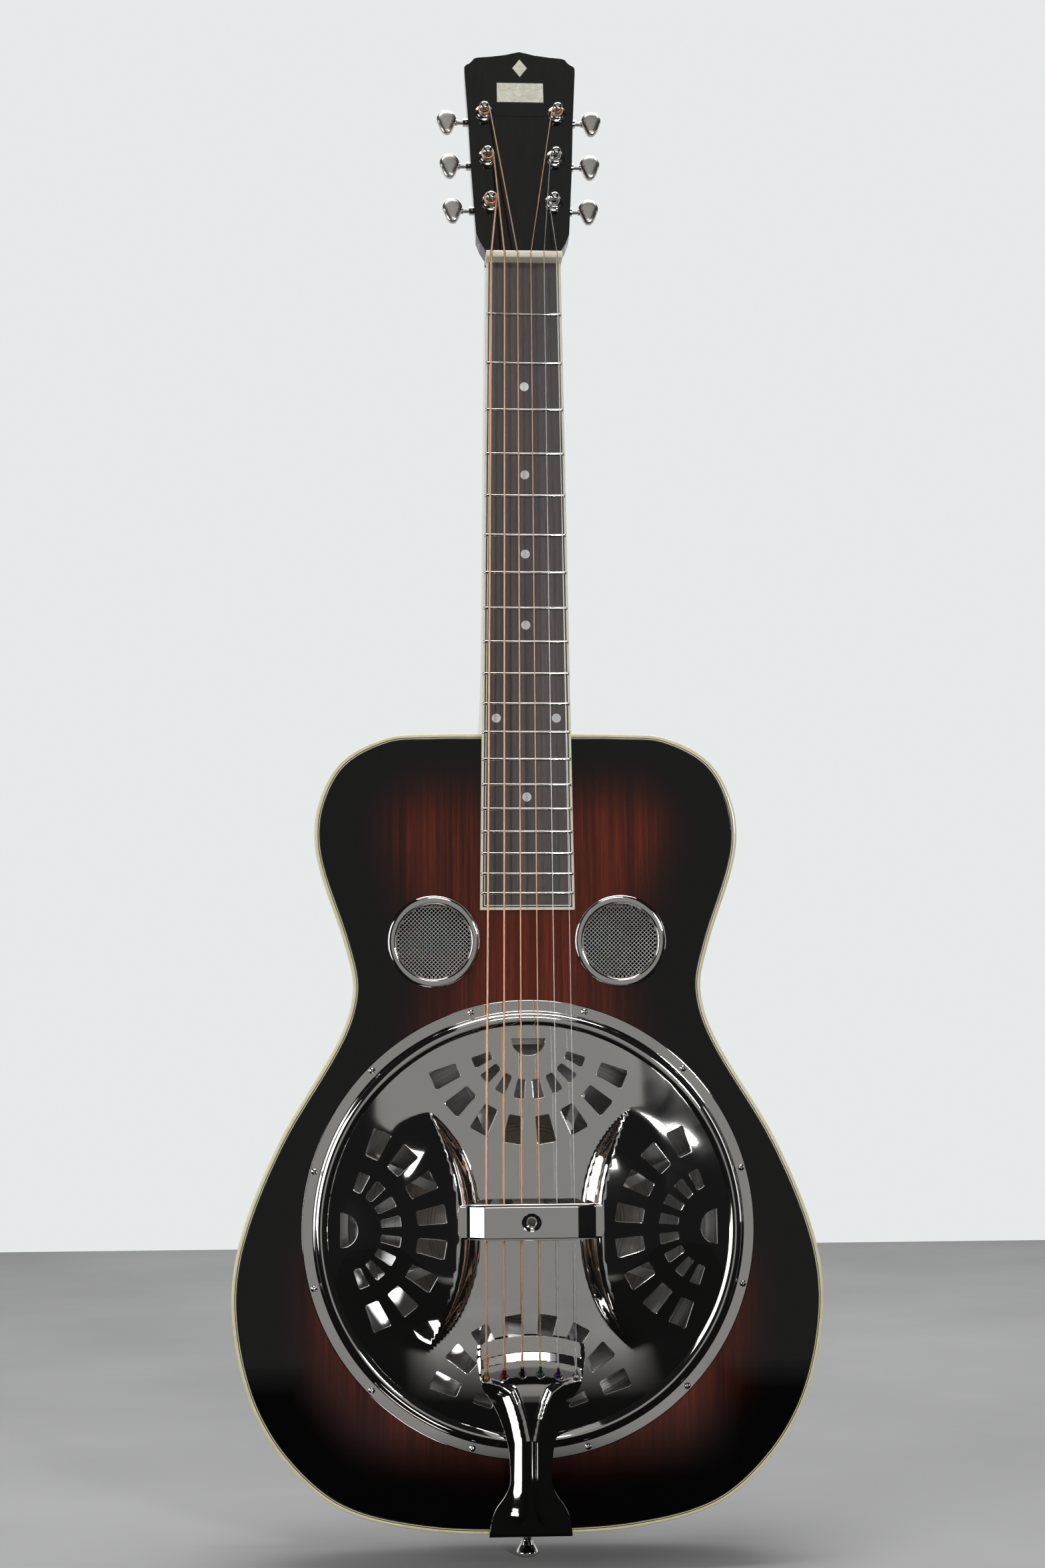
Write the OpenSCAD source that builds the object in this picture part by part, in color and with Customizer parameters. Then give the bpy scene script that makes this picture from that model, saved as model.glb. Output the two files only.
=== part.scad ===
// Square-neck resonator guitar: spider bridge, dished aluminium cone, pressed metal cover plate.
// Frame: +Z runs up the neck, the front faces -Y, the origin lies on the flat back,
// behind the middle of the cone. "Depth" means the distance forward of the back, so depth = -Y.

/* [Body] */
// Depth of the body from back to top
body_depth = 92; // [80:1:100]
// Thickness of the top
top_t = 4; // [3:0.5:5]
// Thickness of the back
back_t = 3.5; // [3:0.5:5]
// Thickness of the sides
side_t = 3; // [2:0.5:4]
// Width of the edge binding
binding_w = 2.2; // [1.5:0.1:3]
// Height of the edge binding
binding_h = 5; // [3:0.5:7]

/* [Neck] */
// Open string length from nut to middle of saddle
string_len = 638; // [630:1:645]
// Fret scale that the fret places are worked out from
fret_scale = 635; // [625:1:640]
// Number of frets
fret_count = 19; // [12:1:20]
// Half the width of the fingerboard at the nut
nut_half_w = 25; // [22:0.5:26]
// Half the width of the fingerboard at the twelfth fret
joint_half_w = 29.3; // [27:0.1:31]
// Thickness of the fingerboard
board_t = 6.8; // [5:0.1:8]
// Depth of the square neck behind the fingerboard
neck_t = 36; // [30:1:40]
// Width of the fingerboard's edge binding
board_binding_w = 1.7; // [1:0.1:2.5]

/* [Headstock] */
// Backward tilt of the headstock
head_tilt = 12; // [8:1:17]
// Thickness of the headstock with its face veneer
head_t = 15; // [13:0.5:17]
// Thickness of the face veneer
veneer_t = 1.6; // [1:0.1:2.5]

/* [Resonator] */
// Outer radius of the cover plate
cover_r = 146; // [142:0.5:148]
// Wall of the pressed cover plate
cover_t = 1.2; // [0.8:0.1:1.6]
// Outer radius of the cone's rim
cone_r = 133; // [130:1:134]
// Number of spider legs
leg_count = 8; // [8:1:8]

/* [Tuning machines] */
// Worm turns for one turn of the string post
gear_teeth = 14; // [12:1:18]
// Radius of a string post
post_r = 3; // [2.5:0.1:3.2]
// Distance between post axis and button shaft axis
worm_offset = 7; // [6.8:0.1:8]

/* [Hidden] */
$fn = 48;
eps = 0.01;

// ---- heights above the back ("depth") ----
board_d = body_depth + board_t;
fret_h = 1.2;
nut_string_d = board_d + fret_h + 10;
saddle_string_d = board_d + fret_h + 12;
lip_d = body_depth + 15.6;
sheet_d = lip_d - 1.9;

// ---- places along the neck ----
nut_z = string_len;
nut_len = 5.2;
nut_half = 25.4;
joint_z = 320.5;
tail_z = -192;
board_len = 433.8;
function fret_z(n) = nut_z - fret_scale * (1 - pow(2, -n / 12));
function board_half(z) = nut_half_w + (joint_half_w - nut_half_w) * (nut_z - z) / (fret_scale / 2);

// ---- body outline: right half, from the neck joint round to the tail ----
BODY_POINTS = [
    [34, 320.5], [62, 320.3], [92, 317.8], [122, 301], [137, 271], [137.3, 239], [119, 182],
    [113.4, 153], [122, 122], [161, 55], [185, -5], [190.6, -50], [180, -104], [157, -144],
    [120, -175.3], [65, -189.3], [0, -192]];
steps = 5;

function unit(v) = v / norm(v);
function body_tangent(i) =
    i == 0 ? [1, 0] : i == len(BODY_POINTS) - 1 ? [-1, 0] :
    (BODY_POINTS[i + 1] - BODY_POINTS[i - 1]) /
    (norm(BODY_POINTS[i + 1] - BODY_POINTS[i]) + norm(BODY_POINTS[i] - BODY_POINTS[i - 1]));
function hermite(a, b, ma, mb, t) =
    a * (2 * pow(t, 3) - 3 * pow(t, 2) + 1) + ma * (pow(t, 3) - 2 * pow(t, 2) + t)
    + b * (3 * pow(t, 2) - 2 * pow(t, 3)) + mb * (pow(t, 3) - pow(t, 2));
function hermite_slope(a, b, ma, mb, t) =
    (a - b) * (6 * pow(t, 2) - 6 * t) + ma * (3 * pow(t, 2) - 4 * t + 1)
    + mb * (3 * pow(t, 2) - 2 * t);
function body_point(i, t, inset) =
    let (a = BODY_POINTS[i], b = BODY_POINTS[i + 1], reach = norm(b - a),
         ma = body_tangent(i) * reach, mb = body_tangent(i + 1) * reach,
         way = unit(hermite_slope(a, b, ma, mb, t)))
    hermite(a, b, ma, mb, t) + inset * [way[1], -way[0]];
function body_half(inset) = concat(
    [for (i = [0 : len(BODY_POINTS) - 2], k = [0 : steps - 1]) body_point(i, k / steps, inset)],
    [[0, tail_z + inset]]);
function mirrored(points) = [for (i = [len(points) - 2 : -1 : 0]) [-points[i][0], points[i][1]]];
function body_outline(inset) = concat(body_half(inset), mirrored(body_half(inset)));

// ---- resonator ----
well_r = 135;
well_outer_r = 147;
ledge_r = 125;
ledge_d = 72;
cone_t = 0.8;
top_hole_r = 138;
screen_x = 61;
screen_z = 184;
screen_hole_r = 27.5;
cover_screw_r = 142.8;
cover_screw_count = 12;
cover_screw_start = 15;
screw_len = 12;
pilot_r = 1.25;
dome_d = body_depth + 12;
dome_sphere_r = 1029;
lobe_high = 25.5;
lobe_low = 9;
lobe_fall = 0.24;
lobe_flat = 38;
lobe_end = 86;
lobe_edge_r = 146;
lobe_edge_x = 190;
fan_r = 121;
rest_top_d = body_depth + 33;

// ---- strings: from the lowest on the left to the highest on the right ----
STRING_R = [0.71, 0.585, 0.455, 0.33, 0.23, 0.205];
nut_gap = 8.75;
saddle_gap = 11.32;
tail_gap = 11.4;
function nut_x(s) = (s - 2.5) * nut_gap;
function saddle_x(s) = (s - 2.5) * saddle_gap;
function tail_x(s) = (s - 2.5) * tail_gap;
lip_z = -68;
hole_z = -91;

// ---- headstock: local x across, y up the face, z out of the face ----
head_z = nut_z + nut_len;
head_d = body_depth + 4;
POST_UP = [41.4, 76.8, 112];
POST_OUT = [21.45, 23.25, 25.1];
// A tuner's number says its column and row: 0 to 2 up the left, 3 to 5 up the right
function tuner_side(k) = k < 3 ? -1 : 1;
function tuner_row(k) = k % 3;
function tuner_x(k) = tuner_side(k) * POST_OUT[tuner_row(k)];
function tuner_y(k) = POST_UP[tuner_row(k)];
// The string on tuner k: the outermost string goes to the lowest post of its column
function tuner_string(k) = k < 3 ? k : 5 - tuner_row(k);
wrap_low = 3.2;
worm_z = -head_t - 6.5;
worm_r = 1.8;
gear_r = worm_offset - worm_r - 0.3;
gear_t = 5;
shaft_r = 1.5;
run = 0.05;
bush_r = 4.8;
head_bore_r = 5;
button_out = 25.2;
function head_to_world(p) = [p[0],
    -head_d + p[1] * sin(head_tilt) - p[2] * cos(head_tilt),
    head_z + p[1] * cos(head_tilt) + p[2] * sin(head_tilt)];

// ---- helpers ----
// Extrudes a shape drawn in X and Z from depth d0 to depth d1
module span(d0, d1) { translate([0, -d0, 0]) rotate([90, 0, 0]) linear_extrude(d1 - d0) children(); }
// Turns a profile drawn as [radius, depth] about an axis that runs from back to front
module turned(x = 0, z = 0) {
    translate([x, 0, z]) rotate([90, 0, 0]) rotate_extrude($fn = 96) children();
}
// Extrudes a side view drawn as [depth, z] across the guitar, from -half to half
module across(half) {
    rotate([90, 0, -90]) translate([0, 0, -half]) linear_extrude(2 * half) children();
}
module rod(p, q, r) {
    v = q - p;
    translate(p) rotate([0, acos(v[2] / norm(v)), atan2(v[1], v[0])]) cylinder(r = r, h = norm(v));
}
module in_head() { translate([0, -head_d, head_z]) rotate([90 - head_tilt, 0, 0]) children(); }
module body_ring(outer, inner) {
    difference() { polygon(body_outline(outer)); polygon(body_outline(inner)); }
}
function arc(cx, cy, r, from, to, n) =
    [for (i = [0 : n]) let (a = from + (to - from) * i / n) [cx + r * cos(a), cy + r * sin(a)]];

// Puts a flat shape at each of the cover plate's screws
module cover_screw_places() {
    for (k = [0 : cover_screw_count - 1]) rotate(cover_screw_start + 30 * k) translate([0, cover_screw_r])
        children();
}

// ---- body ----
module top() {
    color("saddlebrown") span(body_depth - top_t, body_depth) difference() {
        polygon(body_outline(binding_w));
        circle(r = top_hole_r, $fn = 96);
        for (s = [-1, 1]) translate([s * screen_x, screen_z]) circle(r = screen_hole_r);
        cover_screw_places() circle(r = pilot_r);
    }
}
module back() {
    color("sienna") span(0, back_t) polygon(body_outline(binding_w));
}
module sides() {
    color("sienna") difference() {
        union() {
            span(binding_h, body_depth - binding_h) body_ring(0, side_t);
            span(back_t, body_depth - top_t) body_ring(binding_w, side_t);
        }
        translate([0, -pin_d, tail_z - 1]) cylinder(r = pin_screw_r + 0.1, h = side_t + 3);
    }
}
module body_binding() {
    color("lemonchiffon") {
        span(body_depth - binding_h, body_depth) body_ring(0, binding_w);
        span(0, binding_h) body_ring(0, binding_w);
    }
}
lining_w = 6;
lining_h = 14;
block_half = 38;
module linings() {
    color("burlywood") for (low = [back_t, body_depth - top_t - lining_h])
        span(low, low + lining_h) difference() {
            body_ring(side_t, side_t + lining_w);
            for (z = [joint_z - 50, tail_z]) translate([-block_half, z]) square([2 * block_half, 50]);
        }
}
module neck_block() {
    color("tan") span(back_t, body_depth - top_t)
        translate([-block_half + 0.5, joint_z - side_t - 45]) square([2 * block_half - 1, 45 - 0.1]);
}
module tail_block() {
    color("tan") difference() {
        span(back_t, body_depth - top_t) intersection() {
            translate([-block_half + 0.5, tail_z]) square([2 * block_half - 1, 22]);
            polygon(body_outline(side_t + 0.1));
        }
        translate([0, -pin_d, tail_z]) cylinder(r = pin_screw_r, h = 18);
    }
}
module back_braces() {
    color("burlywood") for (z = [215, 60, -90])
        translate([-brace_half(z), 0, z - 5]) span(back_t, back_t + 10)
            square([2 * brace_half(z), 10]);
}
function brace_half(z) = z > 200 ? 118 : z > 0 ? 142 : 168;

// ---- resonator ----
module soundwell() {
    color("burlywood") difference() {
        turned() polygon([[well_outer_r, body_depth - top_t], [well_r, body_depth - top_t],
            [well_r, ledge_d], [ledge_r, ledge_d], [ledge_r, ledge_d - 6], [well_r, ledge_d - 6],
            [well_r, ledge_d - 16], [well_outer_r, ledge_d - 16]]);
        span(body_depth - screw_len - 1, body_depth) cover_screw_places() circle(r = pilot_r);
    }
}
module cone() {
    color("silver") turned() polygon([
        [cone_r, ledge_d], [cone_r, ledge_d + cone_t], [cone_r - 16, ledge_d + cone_t],
        [34, ledge_d - 25], [26, ledge_d - 26], [6, ledge_d - 6], [0, ledge_d - 6],
        [0, ledge_d - 6 - cone_t], [6, ledge_d - 6 - cone_t], [26, ledge_d - 27],
        [34.5, ledge_d - 26], [cone_r - 16, ledge_d - cone_t / 2], [cone_r - 15.5, ledge_d]]);
}
hub_d = ledge_d + 13;
saddle_half_t = 1.6;
module spider_leg() {
    span(ledge_d + 6, ledge_d + 12) translate([-3, 14]) square([6, 58]);
    span(ledge_d + cone_t + 0.1, ledge_d + 10) translate([-3, 70]) square([6, 56]);
}
module spider_bridge() {
    color("gainsboro") difference() {
        union() {
            for (k = [0 : leg_count - 1]) rotate([0, 22.5 + k * 360 / leg_count, 0]) spider_leg();
            translate([0, -ledge_d - 4, 0]) rotate([90, 0, 0]) cylinder(r = 18, h = hub_d - ledge_d - 4);
            translate([-31, 0, -5]) span(ledge_d + 6, hub_d + 4) square([62, 10]);
        }
        translate([-28.5, 0, -saddle_half_t - 0.05]) span(hub_d - 2, hub_d + 5)
            square([57, 2 * saddle_half_t + 0.1]);
        translate([0, -ledge_d, 0]) rotate([90, 0, 0]) cylinder(r = 1.8, h = 30);
    }
}
module saddles() {
    color("wheat") for (s = [0, 1]) difference() {
        mirror([s, 0, 0]) translate([3, 0, -saddle_half_t]) span(hub_d - 2, saddle_string_d)
            square([28, 2 * saddle_half_t]);
        for (k = [0 : 5]) rod([saddle_x(k), -saddle_string_d, -3], [saddle_x(k), -saddle_string_d, 3],
            STRING_R[k] + 0.03);
        translate([28.5, 0, -3]) span(hub_d - 3, hub_d + 4.2) square([5, 6]);
        translate([-33.5, 0, -3]) span(hub_d - 3, hub_d + 4.2) square([5, 6]);
    }
}
module tension_screw() {
    color("silver") {
        translate([0, -(ledge_d - 6 + 0.05), 0]) rotate([90, 0, 0]) cylinder(r = 1.7, h = 22);
        translate([0, -(hub_d + 4), 0]) rotate([90, 0, 0]) difference() {
            cylinder(r = 2.8, h = 2.4);
            translate([-3, -0.4, 1.4]) cube([6, 0.8, 2]);
        }
    }
}
// One fan of the cover plate: a half-round hole and two arcs of eight tapered slots round it
SLOT_ANGLES = [9.7, 29, 48, 66.5];
slot_half_angle = 5.15;
module fan() {
    intersection() {
        circle(r = 11, $fn = 32);
        translate([-12, -11]) square([24, 11 + eps]);
    }
    for (a = SLOT_ANGLES, s = [-1, 1], ring = [[26.5, 39], [50, 68]])
        rotate(s * a) polygon([for (p = [[0, -1], [1, -1], [1, 1], [0, 1]])
            ring[p[0]] * [sin(p[1] * slot_half_angle), -cos(slot_half_angle)]]);
}
dome_edge_r = cover_r - 16.5;
function dome_height(r) = dome_d - r * r / (2 * dome_sphere_r);
module dome_solid(drop) {
    turned() polygon(concat([[0, body_depth - 1], [dome_edge_r, body_depth - 1]],
        [for (k = [6 : -1 : 0]) let (r = dome_edge_r * k / 6) [r, dome_height(r) - drop]]));
}
// A raised side lobe: a crescent with a sloping inner wall, whose crown falls outward and to both ends
module lobe_solid(side, drop) {
    intersection() {
        translate([side * lobe_edge_x, -(body_depth - 1), 0]) rotate([90, 0, 0])
            cylinder(r1 = lobe_edge_r + lobe_high + 1 - drop, r2 = lobe_edge_r - drop, h = lobe_high + 1,
                $fn = 128);
        span(body_depth - 1, body_depth + 40) circle(r = dome_edge_r - 2, $fn = 128);
        translate([0, 0, -100]) linear_extrude(200) polygon([for (p = [[24, 0], [140, 0],
            [140, lobe_high - 95 * lobe_fall], [45, lobe_high], [24, lobe_high]])
            [side * p[0], -(body_depth - 1 + p[1] - (p[1] > 0 ? drop - 1 : 0))]]);
        across(140) polygon([for (p = [[0, -lobe_end], [lobe_low, -lobe_end], [lobe_high, -lobe_flat],
            [lobe_high, lobe_flat], [lobe_low, lobe_end], [0, lobe_end]])
            [body_depth - 1 + p[0] - (p[0] > 0 ? drop - 1 : 0), p[1]]]);
    }
}
module press_solid(drop) {
    dome_solid(drop);
    for (side = [-1, 1]) lobe_solid(side, drop);
}
module cover_rim() {
    bead_r = dome_edge_r + 4;
    base_d = body_depth + cover_t;
    turned() polygon(concat([[cover_r, body_depth], [cover_r, base_d]],
        arc(bead_r, base_d, 5, 0, 90, 6),
        [[bead_r - 2.5, base_d + 4.4], [bead_r - 4, base_d + 3.3], [bead_r - 5, dome_height(bead_r - 5)],
         [bead_r - 5, dome_height(bead_r - 5) - cover_t], [bead_r - 3, base_d + 2.2],
         [bead_r - 1.9, base_d + 3.2]],
        arc(bead_r, base_d, 3.8, 90, 0, 6), [[bead_r + 3.8, body_depth]]));
}
module cover_plate() {
    color("silver") difference() {
        union() {
            difference() { press_solid(0); press_solid(cover_t); }
            cover_rim();
        }
        for (k = [0 : 3]) rotate([0, 90 * k, 0]) span(body_depth - 2, body_depth + 40)
            translate([0, fan_r]) fan();
        span(body_depth, body_depth + 40) translate([0, rest_z]) {
            for (s = [-1, 1]) translate([s * rest_hole_x, 0]) circle(r = rest_hole_r);
            translate([-rest_hole_x, -rest_hole_r]) square([2 * rest_hole_x, 2 * rest_hole_r]);
        }
        span(body_depth - 1, body_depth + 6) cover_screw_places() circle(r = pilot_r);
    }
}
rest_half_z = 11;
rest_z = 6;
rest_t = 1.5;
rest_hole_x = 27.5;
rest_hole_r = 13;
lobe_top_d = body_depth + 25.75;
module handrest() {
    half = [[0, rest_top_d], [28.5, rest_top_d], [31, rest_top_d - 0.7], [42, lobe_top_d + 1.2],
        [46.5, lobe_top_d + 0.9]];
    under = [[46.5, lobe_top_d - 0.3], [41.4, lobe_top_d], [30.3, rest_top_d - 0.7 - rest_t],
        [28.2, rest_top_d - rest_t], [0, rest_top_d - rest_t]];
    right = concat(half, under);
    outline = concat(right, [for (i = [len(right) - 2 : -1 : 1]) [-right[i][0], right[i][1]]]);
    color("silver") difference() {
        translate([0, 0, rest_z - rest_half_z]) linear_extrude(2 * rest_half_z)
            polygon([for (p = outline) [p[0], -p[1]]]);
        translate([0, 0, rest_z]) span(rest_top_d - 6, rest_top_d + 2) circle(r = 2.8);
    }
}
module cover_screws() {
    color("silver") for (k = [0 : cover_screw_count - 1])
        rotate([0, cover_screw_start + 30 * k, 0]) translate([0, 0, cover_screw_r]) {
            span(body_depth - screw_len, body_depth + cover_t) circle(r = pilot_r - 0.05);
            difference() {
                intersection() {
                    translate([0, -(body_depth + cover_t - 0.6), 0]) sphere(r = 2.2);
                    span(body_depth + cover_t, body_depth + 6) circle(r = 3);
                }
                translate([-3, -(body_depth + 4), -0.3]) cube([6, 1.4, 0.6]);
            }
        }
}
module screen_rings() {
    color("silver") for (s = [-1, 1]) turned(s * screen_x, screen_z) polygon(concat(
        [[30, body_depth], [30, body_depth + 0.6]],
        arc(26.5, body_depth + 0.6, 2.6, 20, 160, 8),
        [[23, body_depth - 3], [24.2, body_depth - 3], [24.8, body_depth - 4.5],
         [screen_hole_r - 0.2, body_depth - 4.5], [screen_hole_r - 0.2, body_depth]]));
}
module screen_meshes() {
    color("gray") for (s = [-1, 1]) translate([s * screen_x, 0, screen_z])
        span(body_depth - 4.2, body_depth - 3.1) circle(r = 24.2);
}

// ---- neck ----
neck_back_d = body_depth - neck_t;
heel_d = 6;
heel_len = 12;
heel_curve = neck_back_d - heel_d - 2;
module neck_side() {
    // Side view as [depth, z]: heel, square neck, and the run into the tilted headstock
    polygon(concat([[body_depth, nut_z + nut_len], [body_depth, joint_z + 0.1],
        [heel_d, joint_z + 0.1], [heel_d, joint_z + heel_len]],
        arc(heel_d + 2, joint_z + heel_len + heel_curve, heel_curve, -90, 0, 10),
        [[neck_back_d, nut_z - 30], [neck_back_d + 3, nut_z - 8], [neck_back_d + 10, nut_z + 8],
         [head_d - head_t * cos(head_tilt) - 25 * sin(head_tilt),
          head_z + 25 * cos(head_tilt) - head_t * sin(head_tilt)],
         [head_d - veneer_t * cos(head_tilt) - 25 * sin(head_tilt),
          head_z + 25 * cos(head_tilt) - veneer_t * sin(head_tilt)],
         [head_d - veneer_t * cos(head_tilt) - head_gap * sin(head_tilt),
          head_z - veneer_t * sin(head_tilt) + head_gap * cos(head_tilt)]]));
}
// The headstock's face starts this far above the nut
head_gap = 0.4;
HEAD_HALF = [[25.5, head_gap], [25.7, 5], [29, 11], [31.5, 18], [34.4, 66.5], [36, 105], [38.3, 145],
    [38.4, 149], [37.4, 151], [35, 152.4], [33.2, 154.2], [31.6, 156.6], [29, 157.4],
    [20, 158.3], [10, 159.8], [5, 161.2], [0, 162.4]];
module head_shape() {
    polygon(concat(HEAD_HALF, [for (i = [len(HEAD_HALF) - 2 : -1 : 0]) [-HEAD_HALF[i][0], HEAD_HALF[i][1]]]));
}
module neck_taper(from_z, to_z, inset = 0) {
    polygon([[-board_half(from_z) + inset, from_z], [board_half(from_z) - inset, from_z],
        [board_half(to_z) - inset, to_z], [-board_half(to_z) + inset, to_z]]);
}
module neck() {
    color("saddlebrown") difference() {
        union() {
            intersection() {
                span(0, body_depth + 10) union() {
                    neck_taper(joint_z, nut_z);
                    translate([-nut_half_w, nut_z - 1]) square([2 * nut_half_w, 40]);
                }
                across(40) neck_side();
            }
            in_head() translate([0, 0, -head_t]) linear_extrude(head_t - veneer_t) head_shape();
        }
        translate([-60, -head_d - 20, nut_z - 30]) cube([120, 20 + head_d - body_depth, 30 + nut_len]);
        for (k = [0 : 5]) in_head() translate([tuner_x(k), tuner_y(k), -head_t - 1])
            cylinder(r = head_bore_r, h = head_t + 2);
    }
}
module heel_cap() {
    color("black") span(heel_d - 2, heel_d) neck_taper(joint_z + 0.1, joint_z + heel_len);
}
module headstock_veneer() {
    color("black") in_head() difference() {
        translate([0, 0, -veneer_t]) linear_extrude(veneer_t) head_shape();
        for (k = [0 : 5]) translate([tuner_x(k), tuner_y(k), -3]) cylinder(r = head_bore_r, h = 6);
        plaque(); emblem();
    }
}
inlay_t = 0.8;
module plaque() { translate([-16, 121.5, -inlay_t]) cube([32, 15.2, 2]); }
module emblem() {
    translate([0, 149, -inlay_t]) linear_extrude(2) polygon([[0, -7], [5, 0], [0, 7], [-5, 0]]);
}
module headstock_inlays() {
    color("ivory") in_head() intersection() {
        union() { plaque(); emblem(); }
        translate([-30, 100, -5]) cube([60, 60, 5]);
    }
}
board_end_z = nut_z - board_len;
module fingerboard() {
    color("dimgray") difference() {
        span(body_depth, board_d) neck_taper(board_end_z + board_binding_w, nut_z, board_binding_w);
        for (n = [1 : fret_count]) translate([-40, -board_d - 1, fret_z(n) - 0.3]) cube([80, 3, 0.6]);
        for (p = marker_places()) translate([p[0], 0, p[1]]) span(board_d - 1.2, board_d + 1) circle(r = 3);
    }
}
module fingerboard_binding() {
    color("lemonchiffon") span(body_depth, board_d) difference() {
        neck_taper(board_end_z, nut_z);
        neck_taper(board_end_z + board_binding_w, nut_z + 1, board_binding_w);
    }
}
module frets() {
    color("silver") for (n = [1 : fret_count]) {
        half = board_half(fret_z(n)) - 0.9;
        inner = board_half(fret_z(n)) - board_binding_w - 0.3;
        translate([-half, 0, fret_z(n)]) rotate([0, 90, 0]) linear_extrude(2 * half) intersection() {
            translate([0, -board_d]) circle(r = 1.05, $fn = 24);
            translate([-2, -board_d - fret_h]) square([4, fret_h]);
        }
        translate([-inner, -board_d - eps, fret_z(n) - 0.25]) cube([2 * inner, 1.6, 0.5]);
    }
}
function fret_middle(n) = (fret_z(n - 1) + fret_z(n)) / 2;
function marker_places() = concat([for (n = [3, 5, 7, 9, 15]) [0, fret_middle(n)]],
    [for (s = [-1, 1]) [s * 19.75, fret_middle(12)]]);
module position_markers() {
    color("white") for (p = marker_places()) translate([p[0], 0, p[1]])
        span(board_d - 1.2, board_d) circle(r = 3);
}
module nut() {
    color("ivory") difference() {
        intersection() {
            translate([-nut_half, 0, nut_z]) span(body_depth, nut_string_d + 1.2)
                square([2 * nut_half, nut_len]);
            rotate([0, 90, 0]) translate([0, 0, -nut_half]) linear_extrude(2 * nut_half)
                polygon(concat([[-nut_z, -body_depth], [-nut_z, -nut_string_d - 0.6]],
                    [[-nut_z - 1, -nut_string_d - 1.2], [-nut_z - 3, -nut_string_d - 0.8],
                     [-nut_z - nut_len, -nut_string_d + 1.6], [-nut_z - nut_len, -body_depth]]));
        }
        for (s = [0 : 5]) nut_slot(s, STRING_R[s] + 0.1);
    }
}

// A square slot for one string: level to the crown, then sloping back towards its post
module nut_slot(s, half) {
    v = string_top(s) - nut_crown(s);
    translate([nut_x(s) - half, -nut_string_d - 3, nut_z - 1]) cube([2 * half, 3 + half, 3.3]);
    translate(nut_crown(s)) rotate([0, acos(v[2] / norm(v)), atan2(v[1], v[0])])
        translate([-3, -half, -0.2]) cube([3 + half, 2 * half, 6]);
}

// ---- strings ----
function nut_crown(s) = [nut_x(s), -nut_string_d, nut_z + 2];
function saddle_point(s) = [saddle_x(s), -saddle_string_d, 0];
function lip_point(s) = [tail_x(s), -(lip_d + STRING_R[s] + 0.2), lip_z];
function hole_place(s) = hole_z - abs(s - 2.5) * 0.8;
function hole_point(s) = [tail_x(s), -(sheet_d + STRING_R[s] + 0.2), hole_place(s) + 3];
function string_tuner(s) = s < 3 ? s : 8 - s;
wrap_gap = 0.3;
function wrap_r(s) = post_r + wrap_gap + STRING_R[s];
wrap_turns = 2;
function wrap_z(s) = wrap_low + 0.3 + STRING_R[s] + wrap_pitch(s) * wrap_turns;
function string_top(s) = let (k = string_tuner(s))
    head_to_world([tuner_x(k) - tuner_side(k) * wrap_r(s), tuner_y(k), wrap_z(s)]);
wrap_steps = 12;
string_sides = 8;
function wrap_pitch(s) = 2 * STRING_R[s] + 0.08;
// The winding starts where the string meets the post and climbs down it towards the headstock
function wrap_points(s) = let (k = string_tuner(s), side = tuner_side(k))
    [for (i = [wrap_steps * wrap_turns : -1 : 1]) let (a = 360 * i / wrap_steps)
        head_to_world([tuner_x(k) - side * wrap_r(s) * cos(a), tuner_y(k) + wrap_r(s) * sin(a),
            wrap_z(s) - wrap_pitch(s) * i / wrap_steps])];
function string_path(s) = concat(wrap_points(s), [string_top(s), nut_crown(s), saddle_point(s),
    lip_point(s), hole_point(s)]);
OUT_OF_HEAD = [0, -cos(head_tilt), sin(head_tilt)];
function ring_frame(path, i) = let (n = len(path),
    way = unit(path[min(i + 1, n - 1)] - path[max(i - 1, 0)]), side = unit(cross(way, OUT_OF_HEAD)))
    [side, cross(side, way)];
module swept(path, r, sides) {
    n = len(path);
    polyhedron(
        points = [for (i = [0 : n - 1], j = [0 : sides - 1]) let (f = ring_frame(path, i),
            a = 360 * j / sides) path[i] + r * (cos(a) * f[0] + sin(a) * f[1])],
        faces = concat([[for (j = [sides - 1 : -1 : 0]) j]],
            [[for (j = [0 : sides - 1]) (n - 1) * sides + j]],
            [for (i = [0 : n - 2], j = [0 : sides - 1]) let (a = i * sides + j,
                b = i * sides + (j + 1) % sides) [a, b, b + sides, a + sides]]));
}
module string(s) { swept(string_path(s), STRING_R[s], string_sides); }
module wound_strings() { color("peru") for (s = [0 : 3]) string(s); }
module plain_strings() { color("silver") for (s = [4, 5]) string(s); }
BALL_COLOURS = ["gold", "red", "black", "green", "purple", "silver"];
module ball_ends() {
    for (s = [0 : 5]) color(BALL_COLOURS[s]) translate([tail_x(s), -sheet_d, hole_place(s)])
        rotate([0, 90, 0]) cylinder(r = 1.6, h = 2.6, center = true);
}

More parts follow.
